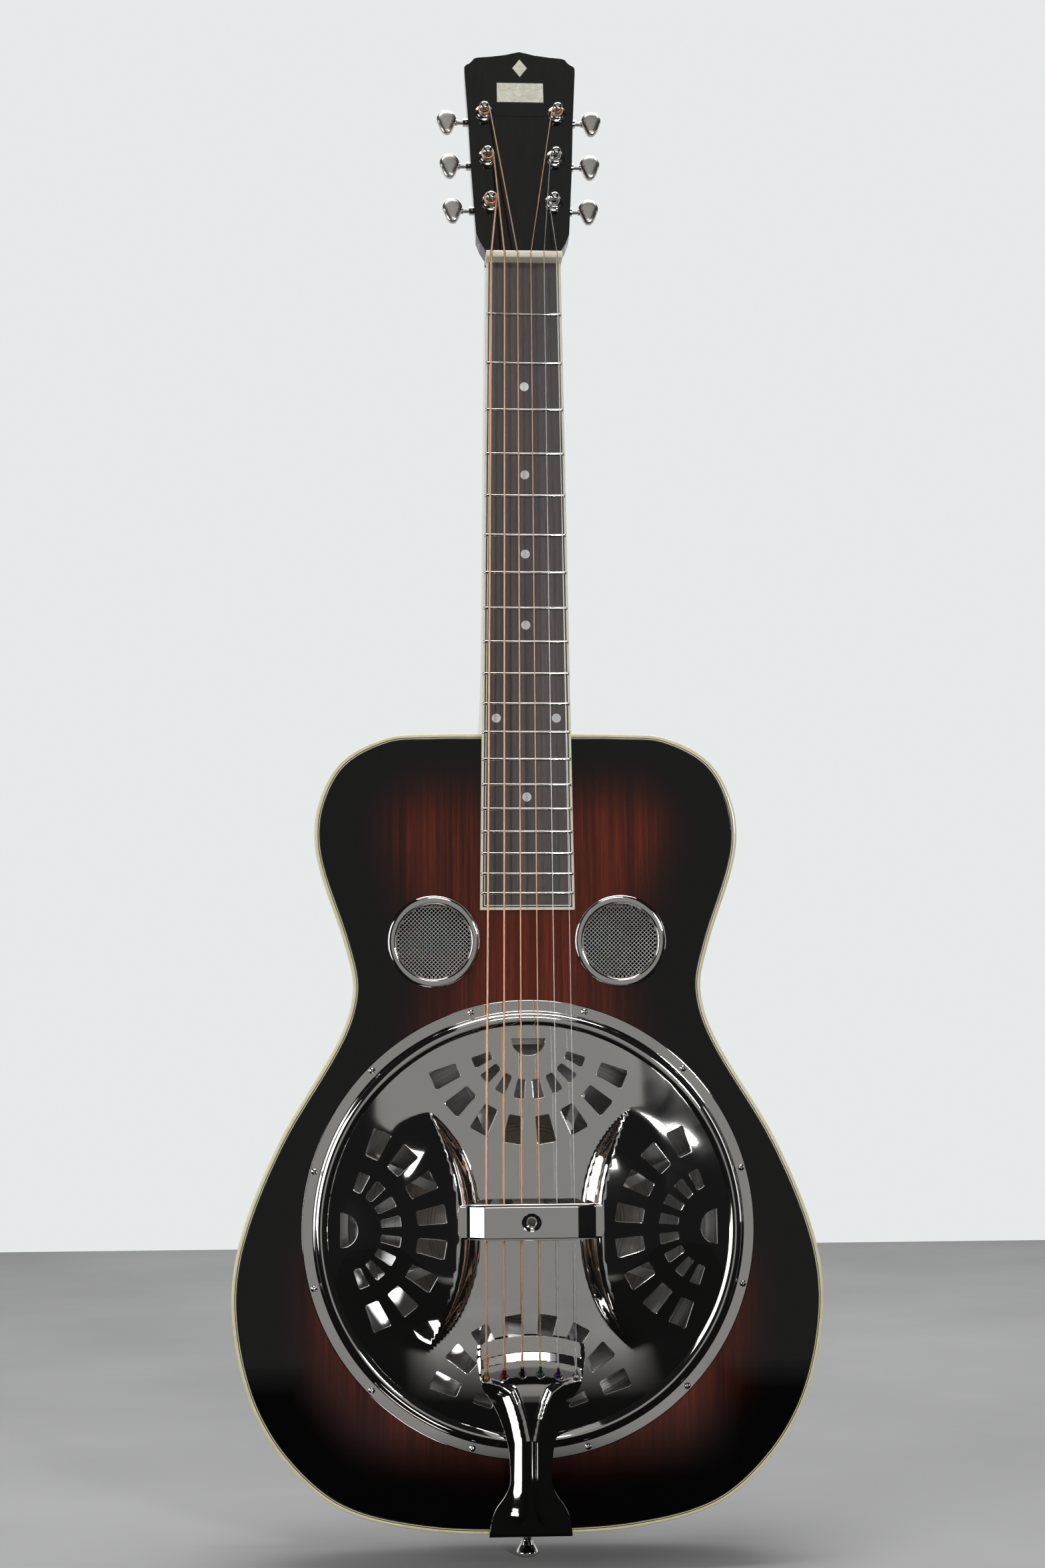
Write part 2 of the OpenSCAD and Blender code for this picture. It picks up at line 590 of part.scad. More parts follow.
// ---- tailpiece and end pin ----
pin_d = 46;
pin_screw_r = 1.5;
tail_t = 1.6;
TAIL_HALF = [[34, -72], [34.2, -82], [31, -98], [26, -106], [20, -118], [15, -134],
    [13.3, -150], [13.6, -160], [17, -168], [22, -175], [25, -183], [26.5, -198]];
module tail_shape() {
    head = [for (k = [0 : 4]) let (x = 34 - 8.5 * k) [x, -66.5 - 5.5 * pow(x / 34, 2)]];
    half = concat([for (k = [4 : -1 : 0]) head[k]], [for (p = TAIL_HALF) if (p[1] < -73) p]);
    polygon(concat(half, [for (i = [len(half) - 1 : -1 : 1]) [-half[i][0], half[i][1]]]));
}
module tail_side() {
    // Bent sheet as [depth, z]: head over the plate, run down to the tail, bend over the end
    upper = [[sheet_d, -64], [sheet_d, -104], [body_depth + 10, -134],
        [body_depth + 7.6, -150], [body_depth + 2.3, -178], [body_depth + 1.9, tail_z - 0.4],
        [body_depth + 0.4, tail_z - 1.9], [pin_d - 10, tail_z - 1.9]];
    polygon(concat(upper, TAIL_UNDER));
}
// The sheet's under side as [depth, z], from the end pin up to the head
TAIL_UNDER = [[pin_d - 10, tail_z - 0.3], [body_depth + 0.3, tail_z - 0.3],
    [body_depth + 0.7, -178], [body_depth + 6, -150.4], [body_depth + 8.4, -134.4],
    [sheet_d - tail_t, -104.4], [sheet_d - tail_t, -64]];
// Middle of each raised rib as [x, depth, z]
RIB = [[25, body_depth + 12.4, -100], [15, body_depth + 11.8, -112], [9, body_depth + 10, -130],
    [6, body_depth + 6.4, -150], [6, body_depth + 3.2, -178]];
module tailpiece() {
    color("silver") difference() {
        union() {
            intersection() {
                span(0, body_depth + 30) tail_shape();
                across(40) tail_side();
            }
            intersection() {
                for (s = [-1, 1]) swept([for (p = RIB) [s * p[0], -p[1], p[2]]], 3.6, 12);
                across(40) polygon(concat(TAIL_UNDER, [[lip_d + 10, -64], [lip_d + 10, tail_z - 1]]));
            }
            translate([-33.5, -sheet_d, -72]) rotate([0, 90, 0]) cylinder(r = lip_d - sheet_d, h = 67);
        }
        for (s = [0 : 5]) translate([tail_x(s), 0, hole_place(s)])
            span(body_depth + 9, body_depth + 20) circle(r = 2.6);
        translate([0, -pin_d, tail_z - 5]) cylinder(r = pin_screw_r + 0.1, h = 10);
    }
}
module end_pin() {
    color("silver") translate([0, -pin_d, tail_z - 2]) mirror([0, 0, 1]) {
        rotate_extrude() polygon([[0, 0], [5, 0], [5, 1.5], [3.8, 3], [3.4, 8], [4.4, 14],
            [7.35, 19.5], [7.35, 20.6], [6, 21.4], [0, 21.4]]);
        translate([0, 0, -17]) cylinder(r = pin_screw_r - 0.02, h = 17 + eps);
    }
}

// ---- tuning machines ----
module at_tuner(k) { in_head() translate([tuner_x(k), tuner_y(k), 0]) children(); }
module button_axis(k) {
    at_tuner(k) translate([0, worm_offset, worm_z]) rotate([0, 90 * tuner_side(k), 0]) children();
}
module tuner_housings() {
    color("silver") for (k = [0 : 5]) difference() {
        union() {
            at_tuner(k) translate([-9, -9, -head_t - 13]) cube([18, 22, 12.9]);
            button_axis(k) translate([0, 0, 8]) cylinder(r = 3, h = 6);
            at_tuner(k) translate([-3.5, -15, -head_t - 1.6]) cube([7, 7, 1.5]);
        }
        at_tuner(k) translate([0, 0, worm_z - gear_t / 2 - 0.3]) cylinder(r = gear_r + 0.3, h = gear_t + 0.6);
        at_tuner(k) translate([0, 0, worm_z]) cylinder(r = post_r + run, h = 20);
        button_axis(k) translate([0, 0, -7]) cylinder(r = worm_r + 0.25, h = 14);
        button_axis(k) cylinder(r = shaft_r + run, h = 20);
        at_tuner(k) translate([0, -12, -head_t - 3]) cylinder(r = 1.05, h = 5);
    }
}
module tuner_bushings() {
    color("silver") for (k = [0 : 5]) at_tuner(k) difference() {
        union() {
            translate([0, 0, -head_t + 0.3]) cylinder(r = bush_r, h = head_t + 1);
            translate([0, 0, 0.8]) cylinder(r = 5.4, h = 0.8);
            translate([0, 0, 1.6]) cylinder(r1 = 5.4, r2 = 3.9, h = 1.4);
        }
        translate([0, 0, -20]) cylinder(r = post_r + run, h = 40);
    }
}
module tuner_washers() {
    color("silver") for (k = [0 : 5]) at_tuner(k) difference() {
        cylinder(r = 6.3, h = 0.8);
        translate([0, 0, -1]) cylinder(r = bush_r + 0.1, h = 3);
    }
}
module tuner_screws() {
    color("silver") for (k = [0 : 5]) at_tuner(k) translate([0, -12, -head_t]) {
        translate([0, 0, -1.6]) cylinder(r = 1, h = 1.6);
        translate([0, 0, -2.7]) cylinder(r1 = 1.3, r2 = 2, h = 1.1);
    }
}
module post(k) {
    color("silver") at_tuner(k) difference() {
        union() {
            translate([0, 0, worm_z - gear_t / 2]) cylinder(r = 2, h = gear_t + eps);
            translate([0, 0, worm_z + gear_t / 2]) cylinder(r = post_r, h = wrap_low - worm_z - gear_t / 2);
            translate([0, 0, wrap_low]) cylinder(r1 = post_r, r2 = post_r - 0.2, h = 4.8);
            translate([0, 0, 8]) cylinder(r1 = post_r - 0.2, r2 = post_r + 0.2, h = 1);
            translate([0, 0, 9]) cylinder(r = post_r + 0.2, h = 1.4);
            translate([0, 0, 10.4]) cylinder(r1 = post_r + 0.2, r2 = post_r - 0.8, h = 0.6);
        }
        translate([-5, 0, 6.2]) rotate([0, 90, 0]) cylinder(r = 0.8, h = 10);
    }
}
// One tooth as [place along the pitch, height]
TOOTH = [[-0.3, 0], [-0.14, 1], [0.14, 1], [0.3, 0]];
module gear(k) {
    root = gear_r - 1;
    color("goldenrod") at_tuner(k) translate([0, 0, worm_z - gear_t / 2]) difference() {
        linear_extrude(gear_t) polygon([for (i = [0 : gear_teeth - 1], p = TOOTH)
            let (a = (i + p[0]) * 360 / gear_teeth, r = root + p[1]) [r * cos(a), r * sin(a)]]);
        translate([0, 0, -1]) cylinder(r = 2, h = gear_t + 2);
    }
}
module worm(k) {
    color("silver") button_axis(k) {
        translate([0, 0, -5.5]) cylinder(r = worm_r, h = 11);
        cylinder(r = shaft_r, h = button_out - 2);
    }
}
module button(k) {
    color("silver") button_axis(k) translate([0, 0, button_out]) difference() {
        union() {
            translate([0, 0, -7.2]) cylinder(r = 2.3, h = 3);
            translate([0, 0, -6]) intersection() {
                rotate([90, 0, 90]) translate([0, 0, -3]) linear_extrude(6)
                    polygon(concat([[-2.7, 0], [2.7, 0], [4.4, 2.5]], arc(5, 7.6, 4.4, -40, 75, 6),
                        [[0, 14.1]], arc(-5, 7.6, 4.4, 105, 220, 6), [[-4.4, 2.5]]));
                translate([0, 0, 6.2]) rotate([0, 90, 0]) cylinder(r = 10.4, h = 10, center = true);
            }
        }
        translate([0, 0, -8]) cylinder(r = shaft_r, h = 6);
    }
}

top();
back();
sides();
body_binding();
linings();
neck_block();
tail_block();
back_braces();
soundwell();
cone();
spider_bridge();
saddles();
tension_screw();
cover_plate();
handrest();
cover_screws();
screen_rings();
screen_meshes();
neck();
heel_cap();
headstock_veneer();
headstock_inlays();
fingerboard();
fingerboard_binding();
frets();
position_markers();
nut();
wound_strings();
plain_strings();
ball_ends();
tailpiece();
end_pin();
tuner_housings();
tuner_bushings();
tuner_washers();
tuner_screws();
// Tuners are named by their string: 6, 5, 4 up the left column and 1, 2, 3 up the right
STRING_NAMES = [6, 5, 4, 1, 2, 3];
for (k = [0 : 5]) {
    button(k);
    worm(k);
    post(k);
    gear(k);
}
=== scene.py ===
import math

import bmesh
import bpy
import numpy as np
from mathutils import Matrix, Vector
from mathutils.geometry import delaunay_2d_cdt


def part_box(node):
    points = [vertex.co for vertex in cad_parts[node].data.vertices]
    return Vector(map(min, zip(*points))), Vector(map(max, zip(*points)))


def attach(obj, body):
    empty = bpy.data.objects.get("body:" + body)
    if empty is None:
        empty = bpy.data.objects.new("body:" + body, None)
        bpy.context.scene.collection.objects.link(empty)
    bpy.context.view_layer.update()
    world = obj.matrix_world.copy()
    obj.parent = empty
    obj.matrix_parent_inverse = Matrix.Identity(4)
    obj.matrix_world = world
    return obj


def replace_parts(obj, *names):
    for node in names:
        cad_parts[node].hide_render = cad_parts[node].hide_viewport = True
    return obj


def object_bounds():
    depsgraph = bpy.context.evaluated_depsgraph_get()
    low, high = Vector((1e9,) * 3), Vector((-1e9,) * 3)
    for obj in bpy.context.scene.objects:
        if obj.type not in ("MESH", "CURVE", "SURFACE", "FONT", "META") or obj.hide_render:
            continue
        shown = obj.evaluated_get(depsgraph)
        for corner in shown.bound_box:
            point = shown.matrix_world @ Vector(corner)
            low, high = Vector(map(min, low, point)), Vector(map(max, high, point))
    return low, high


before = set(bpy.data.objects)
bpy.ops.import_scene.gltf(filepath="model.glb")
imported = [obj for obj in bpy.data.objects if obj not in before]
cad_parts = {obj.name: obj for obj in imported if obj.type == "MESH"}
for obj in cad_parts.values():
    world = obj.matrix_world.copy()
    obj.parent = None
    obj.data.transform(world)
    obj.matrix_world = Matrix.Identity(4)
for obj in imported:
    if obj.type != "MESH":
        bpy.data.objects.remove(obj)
cad_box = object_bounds()
MM = 0.001
ROOT = "guitar"


def extent(node):
    """Lowest and highest (x, depth, z) of a CAD node, in millimetres."""
    low, high = (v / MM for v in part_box(node))
    return np.array([low.x, -high.y, low.z]), np.array([high.x, -low.y, high.z])


# ---- camera, lights and world ----
CAMERA_AT = (-0.0784, -1.5334, 0.1373)
CAMERA_TURN = {"X": -5.938, "Y": -0.045, "Z": 3.0}
LONG_SIDE_MM = 36
FOCAL_MM = 50.67


def new_object(name, data):
    made = bpy.data.objects.new(name, data)
    bpy.context.scene.collection.objects.link(made)
    return made


def make_camera():
    data = bpy.data.cameras.new("camera")
    data.sensor_width = LONG_SIDE_MM
    data.lens = FOCAL_MM
    camera = new_object("camera", data)
    turn = Matrix.Identity(3)
    for axis, degrees in CAMERA_TURN.items():
        turn = Matrix.Rotation(math.radians(degrees), 3, axis) @ turn
    right, ahead, up = turn
    facing = Matrix((right, up, -ahead)).transposed()
    camera.matrix_world = Matrix.Translation(CAMERA_AT) @ facing.to_4x4()
    bpy.context.scene.camera = camera


def area_light(name, at, aim, size, radiance, colour=(1, 1, 1)):
    """A rectangle of light. radiance is how bright it looks in a mirror, where 1 is white."""
    data = bpy.data.lights.new(name, "AREA")
    data.shape = "RECTANGLE"
    data.size, data.size_y = size
    data.energy = radiance * math.pi * size[0] * size[1]
    data.color = colour
    light = new_object(name, data)
    light.location = at
    light.rotation_mode = "QUATERNION"
    light.rotation_quaternion = (Vector(aim) - Vector(at)).to_track_quat("-Z", "Y")
    light.visible_camera = False


def make_lights():
    chest, warm = (0, -0.1, 0.0), (1, 0.985, 0.95)
    area_light("grey_card", (0.07, -3.6, 0.2), (0.07, 0, 0.2), (1.8, 2.8), 0.26, warm)
    area_light("ceiling", (0, -2.9, 2.4), (0, -2.9, 0), (1.6, 3.2), 0.32, warm)
    area_light("key", (1.04, -2.47, 0.60), chest, (0.26, 0.26), 90)
    area_light("left_soft", (-2.05, -1.15, 0.30), chest, (1.3, 1.7), 3.0)
    area_light("right_soft", (2.4, -0.5, 0.5), chest, (0.30, 1.4), 2.5)
    area_light("over_camera", (0.1, -2.2, 1.28), (0.1, 0, -0.08), (0.5, 0.36), 3.2)
    area_light("overhead", (0.1, -0.35, 2.9), (0, 0, 0.2), (2.4, 0.9), 5.0)
    area_light("behind", (0, 1.8, 2.4), (0, 0, 0.3), (2.4, 1.2), 2.0)


def make_world():
    """Reflections see a dark room in front of the guitar (-Y), the camera a pale backdrop."""
    world = bpy.data.worlds.new("studio")
    world.use_nodes = True
    nodes, links = world.node_tree.nodes, world.node_tree.links
    kinds = ("Background", "TexCoord", "SeparateXYZ", "Math", "ValToRGB", "MixShader", "LightPath")
    room, place, parts, share, ramp, pick, path = (nodes.new("ShaderNode" + kind) for kind in kinds)
    backdrop = nodes["Background"]
    backdrop.inputs["Color"].default_value = (0.80, 0.82, 0.82, 1)
    share.operation = "MULTIPLY_ADD"
    share.inputs[1].default_value = share.inputs[2].default_value = 0.5
    stops = ramp.color_ramp.elements
    stops[0].position, stops[0].color = 0.52, (0.010, 0.010, 0.011, 1)
    stops[1].position, stops[1].color = 0.85, (0.80, 0.81, 0.82, 1)
    for output, socket in (
            (place.outputs["Generated"], parts.inputs[0]), (parts.outputs["Y"], share.inputs[0]),
            (share.outputs[0], ramp.inputs[0]), (ramp.outputs[0], room.inputs["Color"]),
            (path.outputs["Is Camera Ray"], pick.inputs[0]), (room.outputs[0], pick.inputs[1]),
            (backdrop.outputs[0], pick.inputs[2]), (pick.outputs[0], nodes["World Output"].inputs[0])):
        links.new(output, socket)
    bpy.context.scene.world = world
    bpy.context.scene.view_settings.view_transform = "Standard"


# ---- materials ----
class Look:
    """A node material: a Principled shader with procedural detail, placed in the shared frame."""

    def __init__(self, name, colour, rough, metal=0.0, **sockets):
        self.material = bpy.data.materials.new(name)
        self.material.use_nodes = True
        self.nodes, self.links = self.material.node_tree.nodes, self.material.node_tree.links
        self.shader = self.nodes["Principled BSDF"]
        self.feed_all(self.shader, Base_Color=colour, Roughness=rough, Metallic=metal, **sockets)
        self.place = self.node("TexCoord").outputs["Object"]

    def feed(self, socket, value):
        """Links another node's output to a socket, or sets the socket's own number or colour."""
        if hasattr(value, "is_linked"):
            self.links.new(value, socket)
        else:
            socket.default_value = (*value, 1) if socket.type == "RGBA" else value

    def feed_all(self, node, **sockets):
        for name, value in sockets.items():
            self.feed(node.inputs[name.replace("_", " ")], value)

    def node(self, kind, **sockets):
        made = self.nodes.new("ShaderNode" + kind)
        self.feed_all(made, **sockets)
        return made

    def texture(self, at, detail, distortion=0.0):
        made = self.node("TexNoise", Vector=at, Scale=1, Detail=detail, Distortion=distortion)
        return made.outputs["Fac"]

    def noise(self, per_metre, detail, distortion=0.0):
        """Cloudy noise; per_metre is how many blobs there are to a metre along X, Y and Z."""
        stretch = self.node("Mapping", Vector=self.place, Scale=per_metre)
        return self.texture(stretch.outputs[0], detail, distortion)

    def math(self, operation, *values):
        node = self.node("Math")
        node.operation = operation
        for socket, value in zip(node.inputs, values):
            self.feed(socket, value)
        return node.outputs[0]

    def parts(self):
        return self.node("SeparateXYZ", Vector=self.place).outputs

    def ramp(self, value, *stops):
        node = self.node("ValToRGB")
        elements = node.color_ramp.elements
        for _ in stops[2:]:
            elements.new(1)
        for element, (position, colour) in zip(elements, stops):
            element.position, element.color = position, (*colour, 1)
        self.feed(node.inputs[0], value)
        return node.outputs[0]

    def mix(self, share, a, b, mode="MIX"):
        node = self.node("Mix")
        node.data_type, node.blend_type = "RGBA", mode
        self.feed(node.inputs["Factor"], share)
        for socket, value in zip([s for s in node.inputs if s.type == "RGBA"], (a, b)):
            self.feed(socket, value)
        return [s for s in node.outputs if s.type == "RGBA"][0]

    def remap(self, value, low, high):
        """Low where the noise is faint, high where it is strong."""
        node = self.node("MapRange", Value=value, From_Min=0.3, From_Max=0.7, To_Min=low, To_Max=high)
        return node.outputs["Result"]

    def colour(self, value):
        self.feed_all(self.shader, Base_Color=value)

    def drift(self, noise, a, b):
        """Lets the colour drift with the noise from a to b."""
        self.colour(self.mix(self.remap(noise, 0, 1), a, b))

    def roughness(self, noise, low, high):
        self.feed_all(self.shader, Roughness=self.remap(noise, low, high))

    def bump(self, height, depth_mm, strength):
        node = self.node("Bump", Height=height, Strength=strength, Distance=depth_mm * MM)
        self.feed_all(self.shader, Normal=node.outputs[0])


def shade(colour, share):
    return tuple(c * share for c in colour)


def wood(name, dark, middle, light, rough, coat, burst=False):
    """Straight-grained wood along Z. A burst darkens it to black by the mesh's own burst attribute."""
    look = Look(name, middle, rough, Coat_Weight=coat, Coat_Roughness=0.03,
                Specular_IOR_Level=0.5 * (1 - coat))
    figure = look.noise((420, 420, 7), 6, 0.4)
    pores = look.noise((2600, 2600, 95), 2)
    bands = look.noise((38, 38, 1.5), 3, 0.6)
    grain = look.mix(0.45, look.ramp(figure, (0.32, dark), (0.5, middle), (0.68, light)),
                     look.ramp(bands, (0.35, dark), (0.65, light)))
    grain = look.mix(look.remap(pores, 0.45, 0), grain, dark)
    if burst:
        share = look.node("Attribute")
        share.attribute_name = "burst"
        red = look.mix(share.outputs["Fac"], shade(middle, 0.30), grain)
        grain = look.mix(look.ramp(share.outputs["Fac"], (0.0, (0, 0, 0)), (0.75, (1, 1, 1))),
                         (0.0022, 0.0020, 0.0020), red)
    look.colour(grain)
    look.roughness(figure, rough * 0.85, rough * 1.15)
    look.bump(pores, 0.04, 0.25)
    return look


def plated(name, colour, rough, wear=0.03):
    """Bright plating with faint handling smears and hairline scratches."""
    look = Look(name, colour, rough, 1.0)
    smears = look.noise((22, 22, 22), 4, 1.2)
    look.colour(look.mix(look.remap(smears, 0, 0.25), colour, shade(colour, 0.86)))
    look.roughness(smears, rough, rough + wear)
    look.bump(look.noise((900, 900, 60), 3), 0.004, 0.12)
    return look


def turned_metal(name, colour, rough):
    """Spun or turned metal: fine rings round the axis through the middle of the body."""
    look = Look(name, colour, rough, 1.0, Anisotropic=0.5)
    x, _, z = look.parts()
    far = look.math("SQRT", look.math("ADD", look.math("MULTIPLY", x, x), look.math("MULTIPLY", z, z)))
    row = look.node("CombineXYZ", X=look.math("MULTIPLY", far, 900))
    rings = look.texture(row.outputs[0], 3)
    look.drift(rings, shade(colour, 0.7), colour)
    look.roughness(rings, rough * 0.8, rough * 1.2)
    look.bump(rings, 0.02, 0.3)
    return look


def string_metal(name, colour, rough, pitch):
    """Metal string; a pitch in millimetres winds it with wire."""
    look = Look(name, colour, rough, 1.0)
    dirt = look.noise((30, 30, 12), 3)
    look.drift(dirt, shade(colour, 0.82), colour)
    look.roughness(dirt, rough * 0.8, rough * 1.2)
    if pitch:
        turns = look.math("SINE", look.math("MULTIPLY", look.parts()[2], 2 * math.pi / (pitch * MM)))
        look.bump(turns, 0.02, 0.4)
    return look


def moulded(name, colour, rough, coat, mottle, size=90):
    """Smooth plastic, bone or pearl with a soft mottle; mottle is how far the colour drifts."""
    look = Look(name, colour, rough, Coat_Weight=coat, Coat_Roughness=0.04, Subsurface_Weight=0.05,
                Subsurface_Radius=(0.002, 0.0015, 0.001))
    mottling = look.noise((size, size, size), 5, 0.8)
    look.drift(mottling, shade(colour, 1 - mottle), colour)
    look.roughness(mottling, rough * 0.85, rough * 1.2)
    look.bump(look.noise((1500, 1500, 1500), 2), 0.01, 0.2)
    return look


def lacquer_black(name):
    look = Look(name, (0.003, 0.003, 0.003), 0.25, Coat_Weight=1.0, Coat_Roughness=0.04,
                Specular_IOR_Level=0.05)
    grain = look.noise((300, 300, 15), 3)
    look.drift(grain, (0.002, 0.002, 0.002), (0.004, 0.004, 0.004))
    look.roughness(grain, 0.2, 0.3)
    look.bump(look.noise((60, 60, 60), 2), 0.02, 0.05)
    return look


def rosewood(name):
    look = Look(name, (0.08, 0.065, 0.06), 0.36, Specular_IOR_Level=0.6)
    streaks = look.noise((330, 330, 6), 6, 0.5)
    bands = look.noise((70, 70, 2), 3, 0.8)
    pores = look.noise((3600, 3600, 130), 2)
    base = look.mix(0.5, look.ramp(streaks, (0.3, (0.040, 0.032, 0.031)), (0.7, (0.125, 0.100, 0.092))),
                    look.ramp(bands, (0.35, (0.045, 0.037, 0.036)), (0.66, (0.150, 0.105, 0.092))))
    look.colour(look.mix(look.remap(pores, 0.5, 0), base, (0.014, 0.012, 0.012)))
    look.roughness(streaks, 0.28, 0.42)
    look.bump(pores, 0.03, 0.3)
    return look


def pearl(name):
    look = Look(name, (0.75, 0.76, 0.68), 0.18, Coat_Weight=1.0, Coat_Roughness=0.03)
    clouds = look.noise((120, 60, 160), 3, 2.5)
    look.colour(look.ramp(clouds, (0.34, (0.70, 0.69, 0.53)), (0.5, (0.82, 0.81, 0.65)),
                          (0.64, (0.89, 0.89, 0.80))))
    look.roughness(clouds, 0.12, 0.3)
    return look


CHROME = plated("chrome_plate", (0.80, 0.785, 0.76), 0.035)
NICKEL = plated("nickel_plate", (0.74, 0.72, 0.68), 0.24, 0.06)
POST_METAL = plated("post_nickel", (0.78, 0.77, 0.74), 0.10)
STEEL = plated("turned_steel", (0.56, 0.56, 0.56), 0.22)
FRET_WIRE = plated("fret_wire", (0.74, 0.72, 0.68), 0.16)
MESH_WIRE = plated("mesh_wire", (0.84, 0.83, 0.80), 0.28)
ALUMINIUM = turned_metal("spun_cone", (0.88, 0.88, 0.88), 0.30)
CAST = turned_metal("cast_spider", (0.72, 0.72, 0.72), 0.38)
BRASS = plated("cut_brass", (0.70, 0.50, 0.22), 0.25)
COPPER = string_metal("bronze_winding", (0.93, 0.58, 0.38), 0.42, 0.42)
PLAIN = string_metal("plain_steel", (0.86, 0.86, 0.86), 0.38, 0)
TOP_WOOD = wood("sunburst_top", (0.016, 0.0022, 0.0013), (0.108, 0.0125, 0.0042),
                (0.260, 0.0400, 0.0115), 0.42, 1.0, burst=True)
BODY_WOOD = wood("stained_body", (0.022, 0.0040, 0.0020), (0.070, 0.0110, 0.0040),
                 (0.130, 0.0250, 0.0080), 0.40, 1.0, burst=True)
NECK_WOOD = wood("stained_neck", (0.012, 0.0030, 0.0018), (0.040, 0.0080, 0.0035),
                 (0.075, 0.0170, 0.0070), 0.38, 1.0)
RAW_WOOD = wood("raw_lining", (0.36, 0.22, 0.11), (0.52, 0.35, 0.19), (0.66, 0.48, 0.29), 0.7, 0.0)
MAPLE = wood("maple_saddle", (0.50, 0.34, 0.17), (0.66, 0.48, 0.27), (0.78, 0.61, 0.38), 0.55, 0.0)
ROSEWOOD = rosewood("rosewood_board")
BLACK = lacquer_black("black_lacquer")
CREAM = moulded("cream_binding", (0.87, 0.82, 0.52), 0.30, 0.9, 0.10)
BOARD_CREAM = moulded("board_binding", (0.90, 0.87, 0.68), 0.35, 0.3, 0.08)
BLACK_LINE = moulded("black_line", (0.008, 0.008, 0.008), 0.35, 0.6, 0.3)
BONE = moulded("bone_nut", (0.90, 0.85, 0.69), 0.35, 0.2, 0.10, 200)
PEARL = pearl("pearloid")
DOT = moulded("pearl_dot", (0.78, 0.78, 0.77), 0.25, 0.8, 0.12)


# ---- mesh helpers ----
EDGE_STEP = 0.25  # how far inside a sheet's edge its second row of points lies


def piece(name, points, faces, look, slot, body=ROOT, sharp=35):
    """Makes a closed mesh from points in millimetres and lets it ride on a CAD body."""
    mesh = bpy.data.meshes.new(name)
    mesh.from_pydata([(x * MM, -d * MM, z * MM) for x, d, z in points], [], faces)
    work = bmesh.new()
    work.from_mesh(mesh)
    bmesh.ops.remove_doubles(work, verts=work.verts, dist=1e-6)
    bmesh.ops.recalc_face_normals(work, faces=work.faces)
    work.to_mesh(mesh)
    work.free()
    mesh.shade_smooth()
    mesh.set_sharp_from_angle(angle=math.radians(sharp))
    return mount(name, mesh, look, body)


def mount(name, mesh, look, body=ROOT):
    """Gives a mesh its look, and puts it on a body."""
    mesh.materials.append(look.material)
    made = new_object(name, mesh)
    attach(made, body)
    return made


def join_parts(*parts):
    """Puts several (points, faces) lists into one."""
    points, faces = [], []
    for more, its_faces in parts:
        faces += [tuple(len(points) + i for i in face) for face in its_faces]
        points += list(more)
    return points, faces


def loft(rings, closed=False, caps=True):
    n = len(rings[0])
    faces = []
    for i in range(len(rings) if closed else len(rings) - 1):
        a, b = i * n, (i + 1) % len(rings) * n
        faces += [(a + j, a + (j + 1) % n, b + (j + 1) % n, b + j) for j in range(n)]
    if caps and not closed:
        faces += [tuple(range(n)), tuple((len(rings) - 1) * n + j for j in range(n))]
    return [p for ring in rings for p in ring], faces


def on_front(x0, z0):
    """Places a lathe on an axis that points out of the front at (x0, z0)."""
    return lambda x, y, out: (x0 + x, out, z0 + y)


def supported(profile, closed, gap=0.15):
    """Adds points near both ends of the long straight runs, so that flats shade as flats."""
    full = []
    ends = profile[1:] + profile[:1] if closed else profile[1:]
    for (r, h), (next_r, next_h) in zip(profile, ends):
        full.append((r, h))
        reach = math.hypot(next_r - r, next_h - h)
        if reach > 3:
            for share in (gap / reach, 1 - gap / reach):
                full.append((r + (next_r - r) * share, h + (next_h - h) * share))
    return full if closed else full + [profile[-1]]


def lathe(profile, place, segments=64, closed=False):
    """Turns [(radius, height)] about the axis that place(x, y, height) defines."""
    profile = supported(profile, closed)
    rings = [[place(x, y, h) for x, y in circle(0, 0, r, segments)] for r, h in profile]
    return loft(rings, closed, caps=not closed)


def unit(vectors):
    return vectors / np.linalg.norm(vectors, axis=-1, keepdims=True)


def ways(path):
    """Unit vectors along an open path, at each of its points."""
    path = np.array(path, float)
    return unit(np.concatenate([path[1:], path[-1:]]) - np.concatenate([path[:1], path[:-1]]))


def tube(path, radius, sides=10):
    """Sweeps a circle along a path without twist. radius is a number or one for each point."""
    radii = radius if hasattr(radius, "__len__") else [radius] * len(path)
    rings, side = [], None
    for p, way, r in zip(np.array(path, float), ways(path), radii):
        if side is None:
            side = np.cross(way, (0, 1, 0) if abs(way[1]) < 0.9 else (1, 0, 0))
        side = unit(side - way * side.dot(way))
        other = np.cross(way, side)
        rings.append([tuple(p + r * (c * side + s * other)) for c, s in circle(0, 0, 1, sides)])
    return loft(rings)


def smooth_step(low, high, value):
    t = np.clip((value - low) / (high - low), 0, 1)
    return t * t * (3 - 2 * t)


def soft_max(a, b, radius):
    """The larger of two heights, rounded where they meet."""
    blend = np.clip(0.5 + 0.5 * (a - b) / radius, 0, 1)
    return b + (a - b) * blend + radius * blend * (1 - blend)


def inside(points, loops):
    """Whether each point lies inside the first loop and outside the others."""
    hit = np.zeros(len(points), int)
    for loop in loops:
        a = np.array(loop)
        for (x0, z0), (x1, z1) in zip(a, np.roll(a, -1, axis=0)):
            if z0 == z1:
                continue
            crosses = (z0 > points[:, 1]) != (z1 > points[:, 1])
            at = (x1 - x0) * (points[:, 1] - z0) / (z1 - z0) + x0
            hit += crosses & (points[:, 0] < at)
    return hit % 2 == 1


def rightwards(loop):
    """Unit vectors to the right of the way the loop runs, at each of its points."""
    a = np.array(loop)
    way = unit(np.roll(a, -1, axis=0) - np.roll(a, 1, axis=0))
    return np.stack([way[:, 1], -way[:, 0]], 1)


